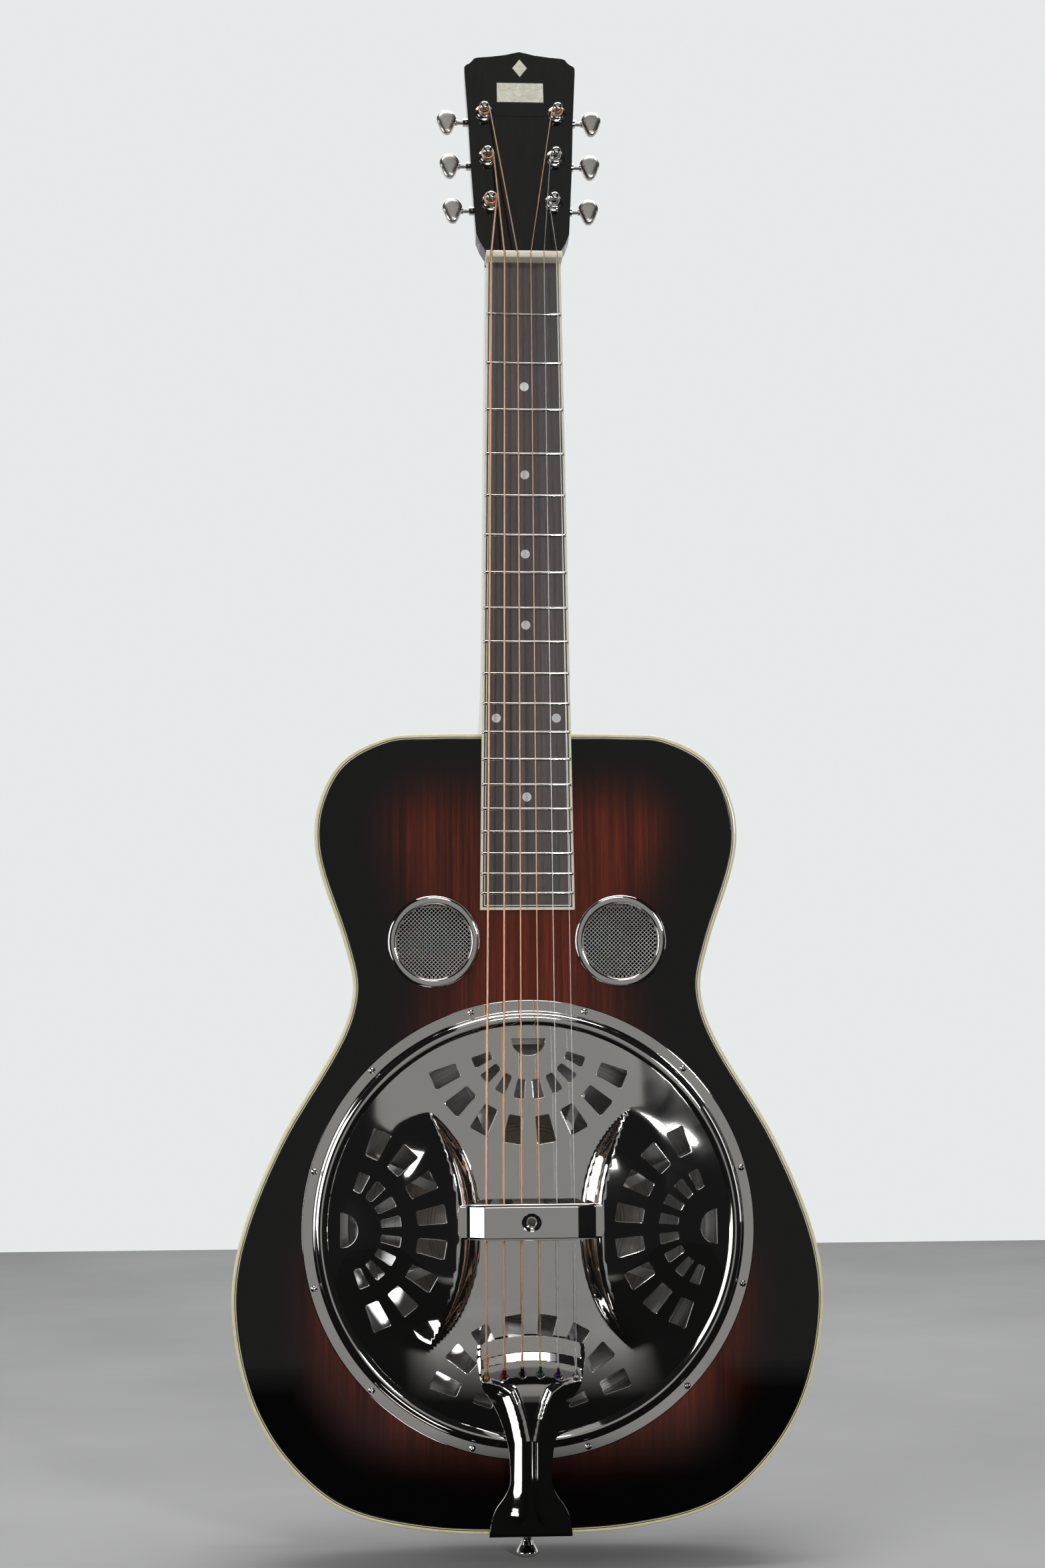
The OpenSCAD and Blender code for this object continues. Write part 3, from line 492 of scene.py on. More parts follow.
def off_sheet(loop, loops):
    """Unit vectors at the loop's points that lead away from the sheet which the loops bound."""
    right = rightwards(loop)
    sheet_on_right = inside(np.array(loop) + 0.05 * right, loops).mean() > 0.5
    return -right if sheet_on_right else right


def distance(points, others, batch=2000):
    """How far each point is from the nearest of the others."""
    return np.concatenate([np.linalg.norm(part[:, None] - others[None], axis=2).min(1)
                           for part in np.array_split(points, max(1, len(points) // batch))])


def fill(loops, spacing):
    """Triangles over a flat shape with holes: a row of points beside each edge, a grid within."""
    edge_points = np.array([p for loop in loops for p in loop], float)
    edges, start = [], 0
    for loop in loops:
        edges += [(start + i, start + (i + 1) % len(loop)) for i in range(len(loop))]
        start += len(loop)
    low, high = edge_points.min(0), edge_points.max(0)
    grid = np.stack(np.meshgrid(np.arange(low[0], high[0], spacing),
                                np.arange(low[1], high[1], spacing)), -1).reshape(-1, 2)
    grid = grid[inside(grid, loops)]
    grid = grid[distance(grid, edge_points) > max(0.5 * spacing, 2.5 * EDGE_STEP)]
    inner = [np.array(loop) - EDGE_STEP * off_sheet(loop, loops) for loop in loops]
    edges += [(a + start, b + start) for a, b in edges]
    coords = [Vector(p) for p in np.concatenate([edge_points, *inner, grid])]
    flat, _, faces, came_from, *_ = delaunay_2d_cdt(coords, edges, [], 0, 1e-5)
    flat, faces = np.array(flat), np.array(faces)
    source = np.array([min(origins) if origins else -1 for origins in came_from])
    return flat, faces[inside(flat[faces].mean(1), loops)], source


def pressed(name, loops, height, thickness, spacing, look):
    """A sheet whose front lies at depth height(x, z). Its shading follows the true curve."""
    flat, faces, source = fill(loops, spacing)
    x, z = flat[:, 0], flat[:, 1]
    step = 0.02
    slope_x = (height(x + step, z) - height(x - step, z)) / (2 * step)
    slope_z = (height(x, z + step) - height(x, z - step)) / (2 * step)
    normals = unit(np.stack([-slope_x, -np.ones_like(x), -slope_z], 1))
    front = np.stack([x, -height(x, z), z], 1)
    back = front + np.array([0, thickness, 0])
    away = np.concatenate([off_sheet(loop, loops) for loop in loops])
    on_edge = (source >= 0) & (source < len(away))
    lean = away[source[on_edge]]
    front[on_edge, 1] += 0.7 * EDGE_STEP
    normals[on_edge] += np.stack([lean[:, 0], 0 * lean[:, 0], lean[:, 1]], 1)
    normals = unit(normals)
    a, b, c = (front[faces[:, k]] for k in range(3))
    outward = np.cross(b - a, c - a)[:, 1] < 0
    faces = np.where(outward[:, None], faces, faces[:, ::-1])
    directed = {(int(f[k]), int(f[(k + 1) % 3])) for f in faces for k in range(3)}
    rim = sorted((p, q) for p, q in directed if (q, p) not in directed)
    count = len(flat)
    all_faces = [tuple(map(int, f)) for f in faces]
    all_faces += [tuple(int(i) + count for i in f[::-1]) for f in faces]
    all_faces += [(q, p, p + count, q + count) for p, q in rim]
    mesh = bpy.data.meshes.new(name)
    mesh.from_pydata((np.concatenate([front, back]) * MM).tolist(), [], all_faces)
    mesh.shade_smooth()
    loop_normals = [tuple(normals[i]) for f in faces for i in f]
    loop_normals += [tuple(-normals[i]) for f in faces for i in f[::-1]]
    for p, q in rim:
        loop_normals += [tuple(unit(np.cross((0, 1, 0), front[q] - front[p])))] * 4
    mesh.normals_split_custom_set(loop_normals)
    return mount(name, mesh, look)


def circle(x0, z0, r, count=48):
    return [(x0 + r * math.cos(a), z0 + r * math.sin(a))
            for a in (2 * math.pi * k / count for k in range(count))]


def rectangle(x0, y0, x1, y1):
    return [(x0, y0), (x1, y0), (x1, y1), (x0, y1)]


def rounded(corners, r, steps=4):
    """A polygon with its corners rounded to about radius r."""
    out = []
    for i, corner in enumerate(corners):
        around = (corner, corners[i - 1], corners[(i + 1) % len(corners)])
        p, a, b = (np.array(v, float) for v in around)
        start = p + (a - p) / np.linalg.norm(a - p) * r
        end = p + (b - p) / np.linalg.norm(b - p) * r
        for k in range(steps + 1):
            t = k / steps
            out.append(tuple((1 - t) ** 2 * start + 2 * t * (1 - t) * p + t * t * end))
    return out


def curve_through(points, per_span=6, closed=True):
    """A smooth closed loop or open line through a few points."""
    pts = [np.array(p, float) for p in points]
    n = len(pts)
    out = []
    for i in range(n if closed else n - 1):
        p0, p1 = pts[i - 1] if closed or i else pts[0], pts[i]
        p2 = pts[(i + 1) % n]
        p3 = pts[(i + 2) % n] if closed or i + 2 < n else pts[-1]
        for k in range(per_span):
            t = k / per_span
            out.append(0.5 * (2 * p1 + (p2 - p0) * t + (2 * p0 - 5 * p1 + 4 * p2 - p3) * t * t
                              + (3 * p1 - p0 - 3 * p2 + p3) * t ** 3))
    return [tuple(p) for p in out] + ([] if closed else [tuple(pts[-1])])


# ---- body ----
BODY_D = extent("top")[1][1]
TAIL_Z = extent("sides")[0][2]
BODY_POINTS = [(34, 320.5), (62, 320.3), (92, 317.8), (122, 301), (137, 271), (137.3, 239), (119, 182),
               (113.4, 153), (122, 122), (161, 55), (185, -5), (190.6, -50), (180, -104), (157, -144),
               (120, -175.3), (65, -189.3), (0, -192)]
BINDING_W, BINDING_H, PURFLING_W = 2.2, 5.0, 1.6
TOP_T, BACK_T, SIDE_T = 4.0, 3.5, 3.0
SCREEN_HOLE_R = 27.5


def body_outline(inset, steps=9):
    """A smooth curve through the points, moved inwards by inset, and its mirror image."""
    points = [np.array(p, float) for p in BODY_POINTS]
    slopes = [np.array([1.0, 0])]
    for before, here, after in zip(points, points[1:], points[2:]):
        both = np.linalg.norm(after - here) + np.linalg.norm(here - before)
        slopes.append((after - before) / both)
    slopes.append(np.array([-1.0, 0]))
    half = []
    for a, b, slope_a, slope_b in zip(points, points[1:], slopes, slopes[1:]):
        reach = np.linalg.norm(b - a)
        ma, mb = slope_a * reach, slope_b * reach
        for t in (k / steps for k in range(steps)):
            at = (a * (2 * t ** 3 - 3 * t ** 2 + 1) + ma * (t ** 3 - 2 * t ** 2 + t)
                  + b * (3 * t ** 2 - 2 * t ** 3) + mb * (t ** 3 - t ** 2))
            way = (a - b) * (6 * t * t - 6 * t) + ma * (3 * t * t - 4 * t + 1) + mb * (3 * t * t - 2 * t)
            half.append(at + inset * unit(np.array([way[1], -way[0]])))
    half.append(np.array([0, TAIL_Z + inset]))
    return [tuple(p) for p in half] + [(-p[0], p[1]) for p in half[-2::-1]]


def outline_ring(inset, depth):
    return [(x, depth, z) for x, z in body_outline(inset)]


def body_band(name, profile, look, slot):
    """A closed band that follows the body's edge; profile holds (inset, depth)."""
    return piece(name, *loft([outline_ring(i, d) for i, d in profile], closed=True), look, slot)


def add_burst(made, dark, clear, rise=0.0):
    """Stores how far each point is from the body's edge: 0 where black, 1 where the grain shows.

    rise lets the grain show nearer to the edge beside the neck.
    """
    at = np.array([(v.co.x / MM, v.co.z / MM) for v in made.data.vertices])
    middle = 1 - smooth_step(60, 115, np.abs(at[:, 0]))
    away = distance(at, np.array(body_outline(0))) + rise * smooth_step(170, 290, at[:, 1]) * middle
    share = made.data.attributes.new("burst", "FLOAT", "POINT")
    share.data.foreach_set("value", smooth_step(dark, clear, away).astype(np.float32))


def level(depth):
    """The height function of a flat sheet."""
    return lambda x, z: depth + 0 * x


def make_body():
    inner = BINDING_W + PURFLING_W
    soundwell_hole = circle(0, 0, extent("cone")[1][0] + 5, 128)
    screens = [circle(s * SCREEN_X, SCREEN_Z, SCREEN_HOLE_R) for s in (-1, 1)]
    top = pressed("soundboard", [body_outline(inner), soundwell_hole, *screens], level(BODY_D),
                  TOP_T, 6, TOP_WOOD)
    add_burst(top, 22, 90, rise=14)
    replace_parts(top, "top")
    for name, near, far, low, high, look, slot in (
            ("black", BINDING_W, inner, 2, -0.01, BLACK_LINE, "black_veneer"),
            ("cream", 2.75, 3.2, 1, 0.02, CREAM, "cream_binding")):
        line = [(near, -low), (near, high), (far, high), (far, -low)]
        body_band("purfling_" + name, [(inset, BODY_D + h) for inset, h in line], look, slot)
    corner = [(0, BINDING_H), (0, 1.5), (0.12, 0.9), (0.45, 0.38), (0.95, 0.1), (1.5, 0),
              (BINDING_W, 0), (BINDING_W, BINDING_H)]
    for name, face, way in (("front", BODY_D, -1), ("back", 0, 1)):
        band = body_band("binding_" + name, [(inset, face + way * d) for inset, d in corner],
                         CREAM, "cream_binding")
        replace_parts(band, "body_binding")
    low, high = BINDING_H, BODY_D - BINDING_H
    wall = [(0.03, low), (0.03, BODY_D / 2), (0.03, high), (SIDE_T, high), (SIDE_T, low)]
    sides = body_band("side_walls", wall, BODY_WOOD, "mahogany_body")
    add_burst(sides, 500, 600)
    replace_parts(sides, "sides")
    back = pressed("back_plate", [body_outline(BINDING_W)], level(BACK_T), BACK_T, 7, BODY_WOOD)
    add_burst(back, 14, 90)
    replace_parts(back, "back")
    make_back_line()


def make_back_line():
    """The thin joint line down the middle of the back."""
    half, gap = 1.4, 2.4
    section = ((-half, 0.4), (-half, 0.01), (half, 0.01), (half, 0.4))
    ring = [[(x, d, z) for x, d in section] for z in (TAIL_Z + gap, extent("sides")[1][2] - gap)]
    piece("back_joint_line", *loft(ring), CREAM, "cream_binding")


# ---- resonator ----
SCREEN_R = 30
SCREEN_X = extent("screen_rings")[1][0] - SCREEN_R
SCREEN_Z = sum(e[2] for e in extent("screen_rings")) / 2
COVER_R = extent("cover_plate")[1][0]
DOME_EDGE_R = COVER_R - 16.5
DOME_D = BODY_D + 12
DOME_SPHERE_R = 1029
COVER_T = 1.2
FAN_R = 121
REST_Z = sum(e[2] for e in extent("handrest")) / 2
REST_D = extent("handrest")[1][1]
# A lobe has its highest line at the crest, and its inner wall runs along an arc
LOBE_TOP, LOBE_END, LOBE_ROLL = BODY_D + 25.5, 80, 2.0
LOBE_CREST_X, LOBE_WALL_X, LOBE_WALL_R = 45, 190, 146
LOBE_WALL_W, LOBE_WALL_END = 13.5, 76
REST_FLAT, REST_SLOPE, REST_HOLE_R = 29.5, 0.62, 2.7


def dome_height(r2):
    return DOME_D - r2 / (2 * DOME_SPHERE_R)


def cover_height(x, z):
    """Depth of the pressed plate's face: a shallow dome with a raised lobe on each side."""
    dome = dome_height(x * x + z * z)
    out, along = np.abs(x), np.abs(z)
    beyond = out - LOBE_CREST_X
    crest = LOBE_TOP + LOBE_ROLL - 0.13 * beyond - 0.00167 * beyond ** 2 - dome_height(out ** 2)
    outer = smooth_step(52, 88, out)
    ends = np.clip(1 - (along / LOBE_END) ** (5 - 2.9 * outer), 0, 1) ** (1.5 + 0.5 * outer)
    crown = soft_max(crest, 0 * x, 2.5) * ends
    wall_width = np.maximum(LOBE_WALL_W * (1 - (along / LOBE_WALL_END) ** 4), 0.8)
    inward = LOBE_WALL_R - np.hypot(out - LOBE_WALL_X, z)
    lobe = crown * smooth_step(-1.05, 0.1, inward / wall_width)
    return dome + soft_max(lobe - LOBE_ROLL, 0 * x, LOBE_ROLL)


def fan_slots(turn_deg):
    """A half-round hole and two arcs of tapered slots round it, on one side of the cover plate."""
    hole_r, half = 11, math.radians(5.15)
    loops = [[(hole_r * math.cos(a), -hole_r * math.sin(a)) for a in np.linspace(0, math.pi, 25)]]
    for inner, outer, corner in ((26.5, 39, 1.0), (50, 68, 1.3)):
        for degrees in (side * angle for angle in (9.7, 29, 48, 66.5) for side in (-1, 1)):
            middle = math.radians(degrees)
            corners = [(r * math.sin(middle + e * half), -r * math.cos(middle + e * half))
                       for r, e in ((inner, -1), (outer, -1), (outer, 1), (inner, 1))]
            loops.append(rounded(corners, corner, 3))
    c, s = math.cos(math.radians(turn_deg)), math.sin(math.radians(turn_deg))
    return [[(x * c - (z + FAN_R) * s, x * s + (z + FAN_R) * c) for x, z in loop] for loop in loops]


def stadium(half_len, r, z0, steps=14):
    right = [(half_len + r * math.cos(a), z0 + r * math.sin(a))
             for a in np.linspace(-math.pi / 2, math.pi / 2, steps)]
    return right + [(-x, 2 * z0 - z) for x, z in right]


def make_cover_plate():
    edge = circle(0, 0, DOME_EDGE_R, 240)
    slots = [loop for k in range(4) for loop in fan_slots(90 * k)]
    plate = pressed("cover_plate_dome", [edge, stadium(27.5, 13, REST_Z), *slots], cover_height,
                    COVER_T, 2.0, CHROME)
    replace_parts(plate, "cover_plate")
    bead, bead_r, base = DOME_EDGE_R + 4, 5, BODY_D + COVER_T
    arc = [(bead + bead_r * math.cos(a), base + bead_r * math.sin(a))
           for a in np.radians(range(4, 112, 9))]
    edge_d = dome_height(DOME_EDGE_R ** 2)
    profile = [(COVER_R, BODY_D + 0.02), (COVER_R, base - 0.5), (COVER_R - 0.15, base - 0.15),
               (COVER_R - 0.5, base), (bead + 5.6, base), (bead + 5.1, base + 0.15), *arc,
               (DOME_EDGE_R + 0.6, edge_d + 0.7), (DOME_EDGE_R - 0.2, edge_d + 0.05),
               (DOME_EDGE_R - 0.2, edge_d - COVER_T), (bead, base + 3.4), (bead + 3.4, base - 1.1)]
    rim = piece("cover_plate_rim", *lathe(profile, on_front(0, 0), 240, closed=True), CHROME, "chrome")
    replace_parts(rim, "cover_plate")


def rest_height(x, z):
    """The handrest's face: flat middle, sloping legs and flat feet, with a dimple for the screw."""
    slope = REST_D + 0 * x - REST_SLOPE * np.maximum(np.abs(x) - REST_FLAT, 0)
    leg = soft_max(slope, LOBE_TOP + 1.2 + 0 * x, 1.2)
    edge_roll = 0.9 * smooth_step(9.2, 11.2, np.abs(z - REST_Z))
    dimple = 1.1 * (1 - smooth_step(3.0, 6.4, np.hypot(x, z - REST_Z)))
    return leg - edge_roll - dimple


def make_handrest():
    half_len, half_w = 46.4, 10.9
    corners = rectangle(-half_len, REST_Z - half_w, half_len, REST_Z + half_w)
    rest = pressed("handrest_bridge", [rounded(corners, 4.5, 8), circle(0, REST_Z, REST_HOLE_R, 32)],
                   rest_height, 1.3, 0.9, CHROME)
    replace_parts(rest, "handrest")


def make_screens():
    section = [(SCREEN_R, 0.02), (SCREEN_R, 1.3), (29.8, 1.9), (29.3, 2.35), (28.6, 2.6), (27.6, 2.7),
               (26.0, 2.75), (25.3, 2.65), (24.8, 2.3), (24.4, 1.7), (24.0, 0.6), (23.6, -2.8),
               (24.4, -3.0), (27.3, -4.2), (27.3, 0.02)]
    profile = [(r, BODY_D + h) for r, h in section]
    for side, name in ((-1, "left"), (1, "right")):
        at = on_front(side * SCREEN_X, SCREEN_Z)
        ring = piece(f"screen_ring_{name}", *lathe(profile, at, 128, closed=True), CHROME, "chrome")
        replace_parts(ring, "screen_rings")
        cloth = piece(f"screen_wire_{name}", *woven_disc(side * SCREEN_X, SCREEN_Z, 24.1, BODY_D - 2.2),
                      MESH_WIRE, "woven_wire", sharp=80)
        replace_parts(cloth, "screen_meshes")


def woven_disc(x0, z0, radius, depth, pitch=1.9, wire=0.23):
    """Round piece of plain-woven wire cloth, set at 45 degrees."""
    parts = []
    count = int(radius / pitch)
    for way in (0, 1):
        for i in range(-count, count + 1):
            off = i * pitch
            reach = math.sqrt(max(radius ** 2 - off ** 2, 0))
            if reach < pitch:
                continue
            steps = max(2, int(2 * reach / (pitch / 2)))
            path = []
            for t in (-reach + 2 * reach * k / steps for k in range(steps + 1)):
                phase = math.pi * (t / pitch + i + way)
                u, v = (t, off) if way == 0 else (off, t)
                path.append((x0 + (u - v) * math.sqrt(0.5), depth + wire * math.cos(phase),
                             z0 + (u + v) * math.sqrt(0.5)))
            parts.append(tube(path, wire, 5))
    return join_parts(*parts)


# ---- strings, tailpiece and end pin ----
STRING_R = [0.71, 0.585, 0.455, 0.33, 0.23, 0.205]
TAIL_PITCH, SADDLE_PITCH, NUT_PITCH = 11.4, 11.32, 8.75
NUT_Z = extent("nut")[0][2]
BOARD_D = extent("fingerboard")[1][1]
NUT_STRING_D = BOARD_D + 11.2
SADDLE_D = BOARD_D + 13.2
LIP_D = BODY_D + 15.6
SHEET_D = LIP_D - 1.9
HEAD_D, HEAD_Z, HEAD_TILT = BODY_D + 4, NUT_Z + 5.2, math.radians(12)
POST_UP = [41.4, 76.8, 112]
POST_OUT = [21.45, 23.25, 25.1]
TUNER_NAMES = [6, 5, 4, 1, 2, 3]
POST_R, WRAP_GAP, WRAP_LOW = 3.0, 0.3, 3.2


def head_point(x, y, out):
    """A point on the headstock: across, up its face, out of its face."""
    return (x, HEAD_D - y * math.sin(HEAD_TILT) + out * math.cos(HEAD_TILT),
            HEAD_Z + y * math.cos(HEAD_TILT) + out * math.sin(HEAD_TILT))


def tuner_place(k):
    """The side of tuner k, and its post's place across and up the headstock's face."""
    side, row = (-1 if k < 3 else 1), k % 3
    return side, side * POST_OUT[row], POST_UP[row]


def across(s, pitch):
    """Where string s, counted from the left, crosses a row of six."""
    return (s - 2.5) * pitch


def hole_place(s):
    """How high string s has its hole in the tailpiece."""
    return -90 - abs(s - 2.5) * 0.8


def string_path(s):
    """From the last turn on the post, over the nut and the saddle, to the tailpiece."""
    side, px, py = tuner_place(s if s < 3 else 8 - s)
    r = STRING_R[s]
    wrap_r, pitch, turns, steps = POST_R + WRAP_GAP + r, 2 * r + 0.08, 2, 24
    top = WRAP_LOW + 0.3 + r + pitch * turns
    path = []
    for i in range(steps * turns, -1, -1):
        a = 2 * math.pi * i / steps
        path.append(head_point(px - side * wrap_r * math.cos(a), py + wrap_r * math.sin(a),
                               top - pitch * i / steps))
    x, nut_x, saddle_x = across(s, TAIL_PITCH), across(s, NUT_PITCH), across(s, SADDLE_PITCH)
    path += [(nut_x, NUT_STRING_D - 0.35, NUT_Z + 2.9), (nut_x, NUT_STRING_D, NUT_Z + 1.6),
             (nut_x, NUT_STRING_D, NUT_Z)]
    for share in np.linspace(0, 1, 12)[1:-1]:
        path.append((nut_x + (saddle_x - nut_x) * share,
                     NUT_STRING_D + (SADDLE_D - NUT_STRING_D) * share, NUT_Z * (1 - share)))
    path += [(saddle_x, SADDLE_D, 1.2), (saddle_x, SADDLE_D, -1.2), (x, SHEET_D + 3.2 + r, -81.5),
             (x, SHEET_D + 3.0 + r, -84.5), (x, SHEET_D + 2.6 + r, hole_place(s) + 3.4),
             (x, SHEET_D + 1.0, hole_place(s) + 1.6)]
    return path


BALL_COLOURS = {"gold": (0.80, 0.58, 0.18), "red": (0.45, 0.02, 0.02), "black": (0.015, 0.015, 0.015),
                "green": (0.01, 0.20, 0.09), "purple": (0.10, 0.02, 0.26), "silver": (0.75, 0.75, 0.76)}


def make_strings():
    for s, (colour, tint) in enumerate(BALL_COLOURS.items()):
        wound = s < 4
        look, slot = (COPPER, "bronze_string") if wound else (PLAIN, "steel_string")
        string = piece(f"string_{6 - s}", *tube(string_path(s), STRING_R[s], 12), look, slot, sharp=80)
        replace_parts(string, "wound_strings" if wound else "plain_strings")
        x, r, z = across(s, TAIL_PITCH), STRING_R[s], hole_place(s)
        wire = max(0.2, 0.55 * r)
        coil_r, turns, steps = r + wire * 0.7, 10, 10
        coil = []
        for k in range(turns * steps + 1):
            a, t = 2 * math.pi * k / steps, k / (turns * steps)
            coil.append((x + coil_r * math.cos(a),
                         SHEET_D + 3.1 + r + coil_r * math.sin(a) + 0.5 * t, z + 4.4 + 9.5 * t))
        piece(f"string_twist_{6 - s}", *tube(coil, wire, 6), look, slot, sharp=80)
        silk = plated(f"ball_{colour}", tint, 0.28)
        spool = [(0.05, -1.3), (1.45, -1.3), (1.6, -1.1), (1.6, -0.75), (1.2, -0.45), (1.2, 0.45),
                 (1.6, 0.75), (1.6, 1.1), (1.45, 1.3), (0.05, 1.3)]
        ball = lathe(spool, lambda u, v, h: (x + h, SHEET_D + 1.1 + u, z + v), 24)
        sleeve = tube([(x, SHEET_D + 1.6, z + 0.8), (x, SHEET_D + 2.7 + r, z + 2.6),
                       (x, SHEET_D + 3.0 + r, z + 5.4)], [r + 0.6, r + 0.7, r + 0.45], 14)
        made = piece(f"ball_end_{6 - s}", *join_parts(ball, sleeve), silk, "string_ends")
        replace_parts(made, "ball_ends")


TAIL_SIDE = [(34, -72), (34.2, -82), (31, -98), (26, -106), (20, -118), (15, -134), (13.3, -150),
             (13.6, -160), (17, -168), (22, -175), (25, -183), (26.2, -190)]
TAIL_RUN_Z = [-192, -190, -178, -150, -134, -104, -64]
TAIL_RUN_D = [BODY_D + 1.9, BODY_D + 1.95, BODY_D + 2.4, BODY_D + 7.6, BODY_D + 10, SHEET_D, SHEET_D]
RIB = [(6.5, -180), (6.0, -176), (4.4, -160), (4.2, -133), (7.0, -119), (10.2, -108), (13, -101.5),
       (19, -97), (25, -95), (31, -94)]
LIP_BELOW = [0, 0.8, 2.0, 3.2, 4.4, 7.4, 8.6, 9.6, 15.6, 17.0, 18.5, 25.5, 27.0, 28.2, 30]
LIP_RISE = [-1.2, -0.4, 0.1, -0.2, 0.0, 0.3, 0.1, 0.5, 2.7, 2.95, 2.95, 2.3, 1.9, 0.6, 0]


def rib_distance(x, z):
    """Distance from each point to the nearest of the two ribs' crests."""
    at = np.stack([np.abs(x), z], -1)
    best = np.full(np.shape(x), np.inf)
    for a, b in zip(np.array(RIB[:-1]), np.array(RIB[1:])):
        share = np.clip(((at - a) @ (b - a)) / ((b - a) @ (b - a)), 0, 1)
        best = np.minimum(best, np.linalg.norm(at - a - share[..., None] * (b - a), axis=-1))
    return best


def tail_height(x, z):
    """The tailpiece's face: bent run, two ribs that meet in a Y, and a stepped lip along the arch."""
    run = sum(np.interp(z + shift, TAIL_RUN_Z, TAIL_RUN_D) for shift in (-4, 0, 4)) / 3
    crest_x, crest_z = zip(*RIB)
    outside = smooth_step(-1.5, 1.5, np.abs(x) - np.interp(z, crest_z, crest_x))
    slope = 1.15 - 0.6 * outside
    rib = soft_max(4.0 - slope * (np.sqrt(rib_distance(x, z) ** 2 + 1.0) - 0.6), 0 * x, 1.4)
    below = tail_arch(x) - z
    lip = sum(np.interp(below + shift, LIP_BELOW, LIP_RISE) for shift in (-0.6, -0.2, 0.2, 0.6)) / 4
    curl = -1.2 * smooth_step(31.5, 34.5, np.abs(x))
    return run + soft_max(rib, lip, 0.8) + curl


def tail_arch(x):
    """Up to where the tailpiece reaches, at each x."""
    return -66.5 - 5.5 * (x / 34) ** 2


def make_tailpiece():
    half = [(x, tail_arch(x)) for x in np.linspace(0, 34, 18)[:-1]]
    half += curve_through(TAIL_SIDE, 6, closed=False)
    outline = half + [(-x, z) for x, z in half[:0:-1]]
    holes = [circle(across(s, TAIL_PITCH), hole_place(s), 2.55, 28) for s in range(6)]
    sheet = pressed("tailpiece_plate", [outline, *holes], tail_height, 1.5, 1.0, CHROME)
    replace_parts(sheet, "tailpiece")
    tail_end = -193.95
    bend = [(93.95, -189.4, 26.2), (93.9, -190.6, 26.3), (93.6, -191.9, 26.4), (92.9, -193.0, 26.4),
            (91.8, -193.7, 26.4)]
    bend += [(d, tail_end, half_w) for d, half_w in ((90.2, 26.2), (80, 25), (60, 21), (44, 17),
                                                     (38, 13), (36.3, 8))]
    rings = []
    for (d, z, half_w), way in zip(bend, ways([(d, z) for d, z, _ in bend])):
        inner = (d + 1.5 * way[1], z - 1.5 * way[0])
        row = np.linspace(-half_w, half_w, 9)
        rings.append([(x, d, z) for x in row] + [(x, *inner) for x in row[::-1]])
    piece("tailpiece_bend", *loft(rings), CHROME, "chrome", sharp=50)


def make_end_pin():
    low, high = extent("end_pin")
    axis_d, top = (low[1] + high[1]) / 2, -194

    def at(x, y, h):
        return (x, axis_d + y, top - h)

    profile = [(0.05, 0), (5, 0), (5.1, 0.6), (4.9, 1.4), (4.0, 2.6), (3.5, 4.6), (3.35, 8), (3.7, 11.5),
               (4.6, 14.5), (6.2, 17.2), (7.2, 18.8), (7.35, 19.8), (7.1, 20.6), (6.2, 21.2), (3, 21.38),
               (0.05, 21.4)]
    pin = lathe(profile, at)
    screw = lathe([(0.05, 0), (1.4, 0), (1.4, -16), (0.05, -17)], at, 24)
    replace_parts(piece("end_pin_button", *join_parts(pin, screw), CHROME, "chrome"), "end_pin")


# ---- neck ----
SCALE_LENGTH = 635
BOARD_HALF_NUT, BOARD_HALF_JOINT = 25, 29.3


def board_half(z):
    """Half the fingerboard's width: it widens from the nut towards the body."""
    wider = BOARD_HALF_JOINT - BOARD_HALF_NUT
    return BOARD_HALF_NUT + wider * (NUT_Z - z) / (SCALE_LENGTH / 2)


def make_frets():
    crown = [(-1.05, 0), (-1.0, 0.45), (-0.72, 0.9), (-0.3, 1.15), (0.3, 1.15), (0.72, 0.9), (1.0, 0.45),
             (1.05, 0)]
    parts = []
    for n in range(1, 20):
        z = NUT_Z - SCALE_LENGTH * (1 - 2 ** (-n / 12))
        half = board_half(z) - 0.35
        rings = []
        for x, grow in ((-half, 0.12), (-half + 0.5, 0.75), (-half + 1.1, 1), (half - 1.1, 1),
                        (half - 0.5, 0.75), (half, 0.12)):
            rings.append([(x, BOARD_D - 0.05 + (h + 0.05) * grow * 1.03, z + w) for w, h in crown])
        parts.append(loft(rings))
    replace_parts(piece("fret_wires", *join_parts(*parts), FRET_WIRE, "fret_wire", sharp=50), "frets")


def make_board_lines():
    """The black and cream lines inside the fingerboard's binding."""
    end = extent("fingerboard_binding")[0][2]
    for name, near, far, look, slot in (("black", 1.7, 2.5, BLACK_LINE, "black_veneer"),
                                        ("cream", 2.5, 3.05, BOARD_CREAM, "cream_binding")):
        section = [(near, -0.5), (near, 0.02), (far, 0.02), (far, -0.5)]
        at_nut = [(board_half(NUT_Z) - inset, BOARD_D + rise, NUT_Z - 0.05) for inset, rise in section]
        at_end = [(board_half(end + inset) - inset, BOARD_D + rise, end + inset) for inset, rise in section]
        mirrored = [[(-x, d, z) for x, d, z in ring] for ring in (at_end, at_nut)]
        piece(f"board_line_{name}", *loft([at_nut, at_end, *mirrored]), look, slot)


# ---- tuning machines ----
BUTTON_SHAPE = [(-0.6, 9.3), (3.2, 8.9), (5.2, 7.2), (6.9, 4.2), (7.0, 1.0), (5.9, -1.6), (5.2, -4.0),
                (3.6, -7.4), (1.2, -9.3), (-1.6, -9.2), (-3.6, -7.0), (-5.0, -3.6), (-6.3, -1.0),
                (-6.9, 1.6), (-6.2, 5.0), (-4.0, 8.0)]
BUTTON_OUT, BUTTON_UP, BUTTON_BACK = 25.2, 7.0, -21.5


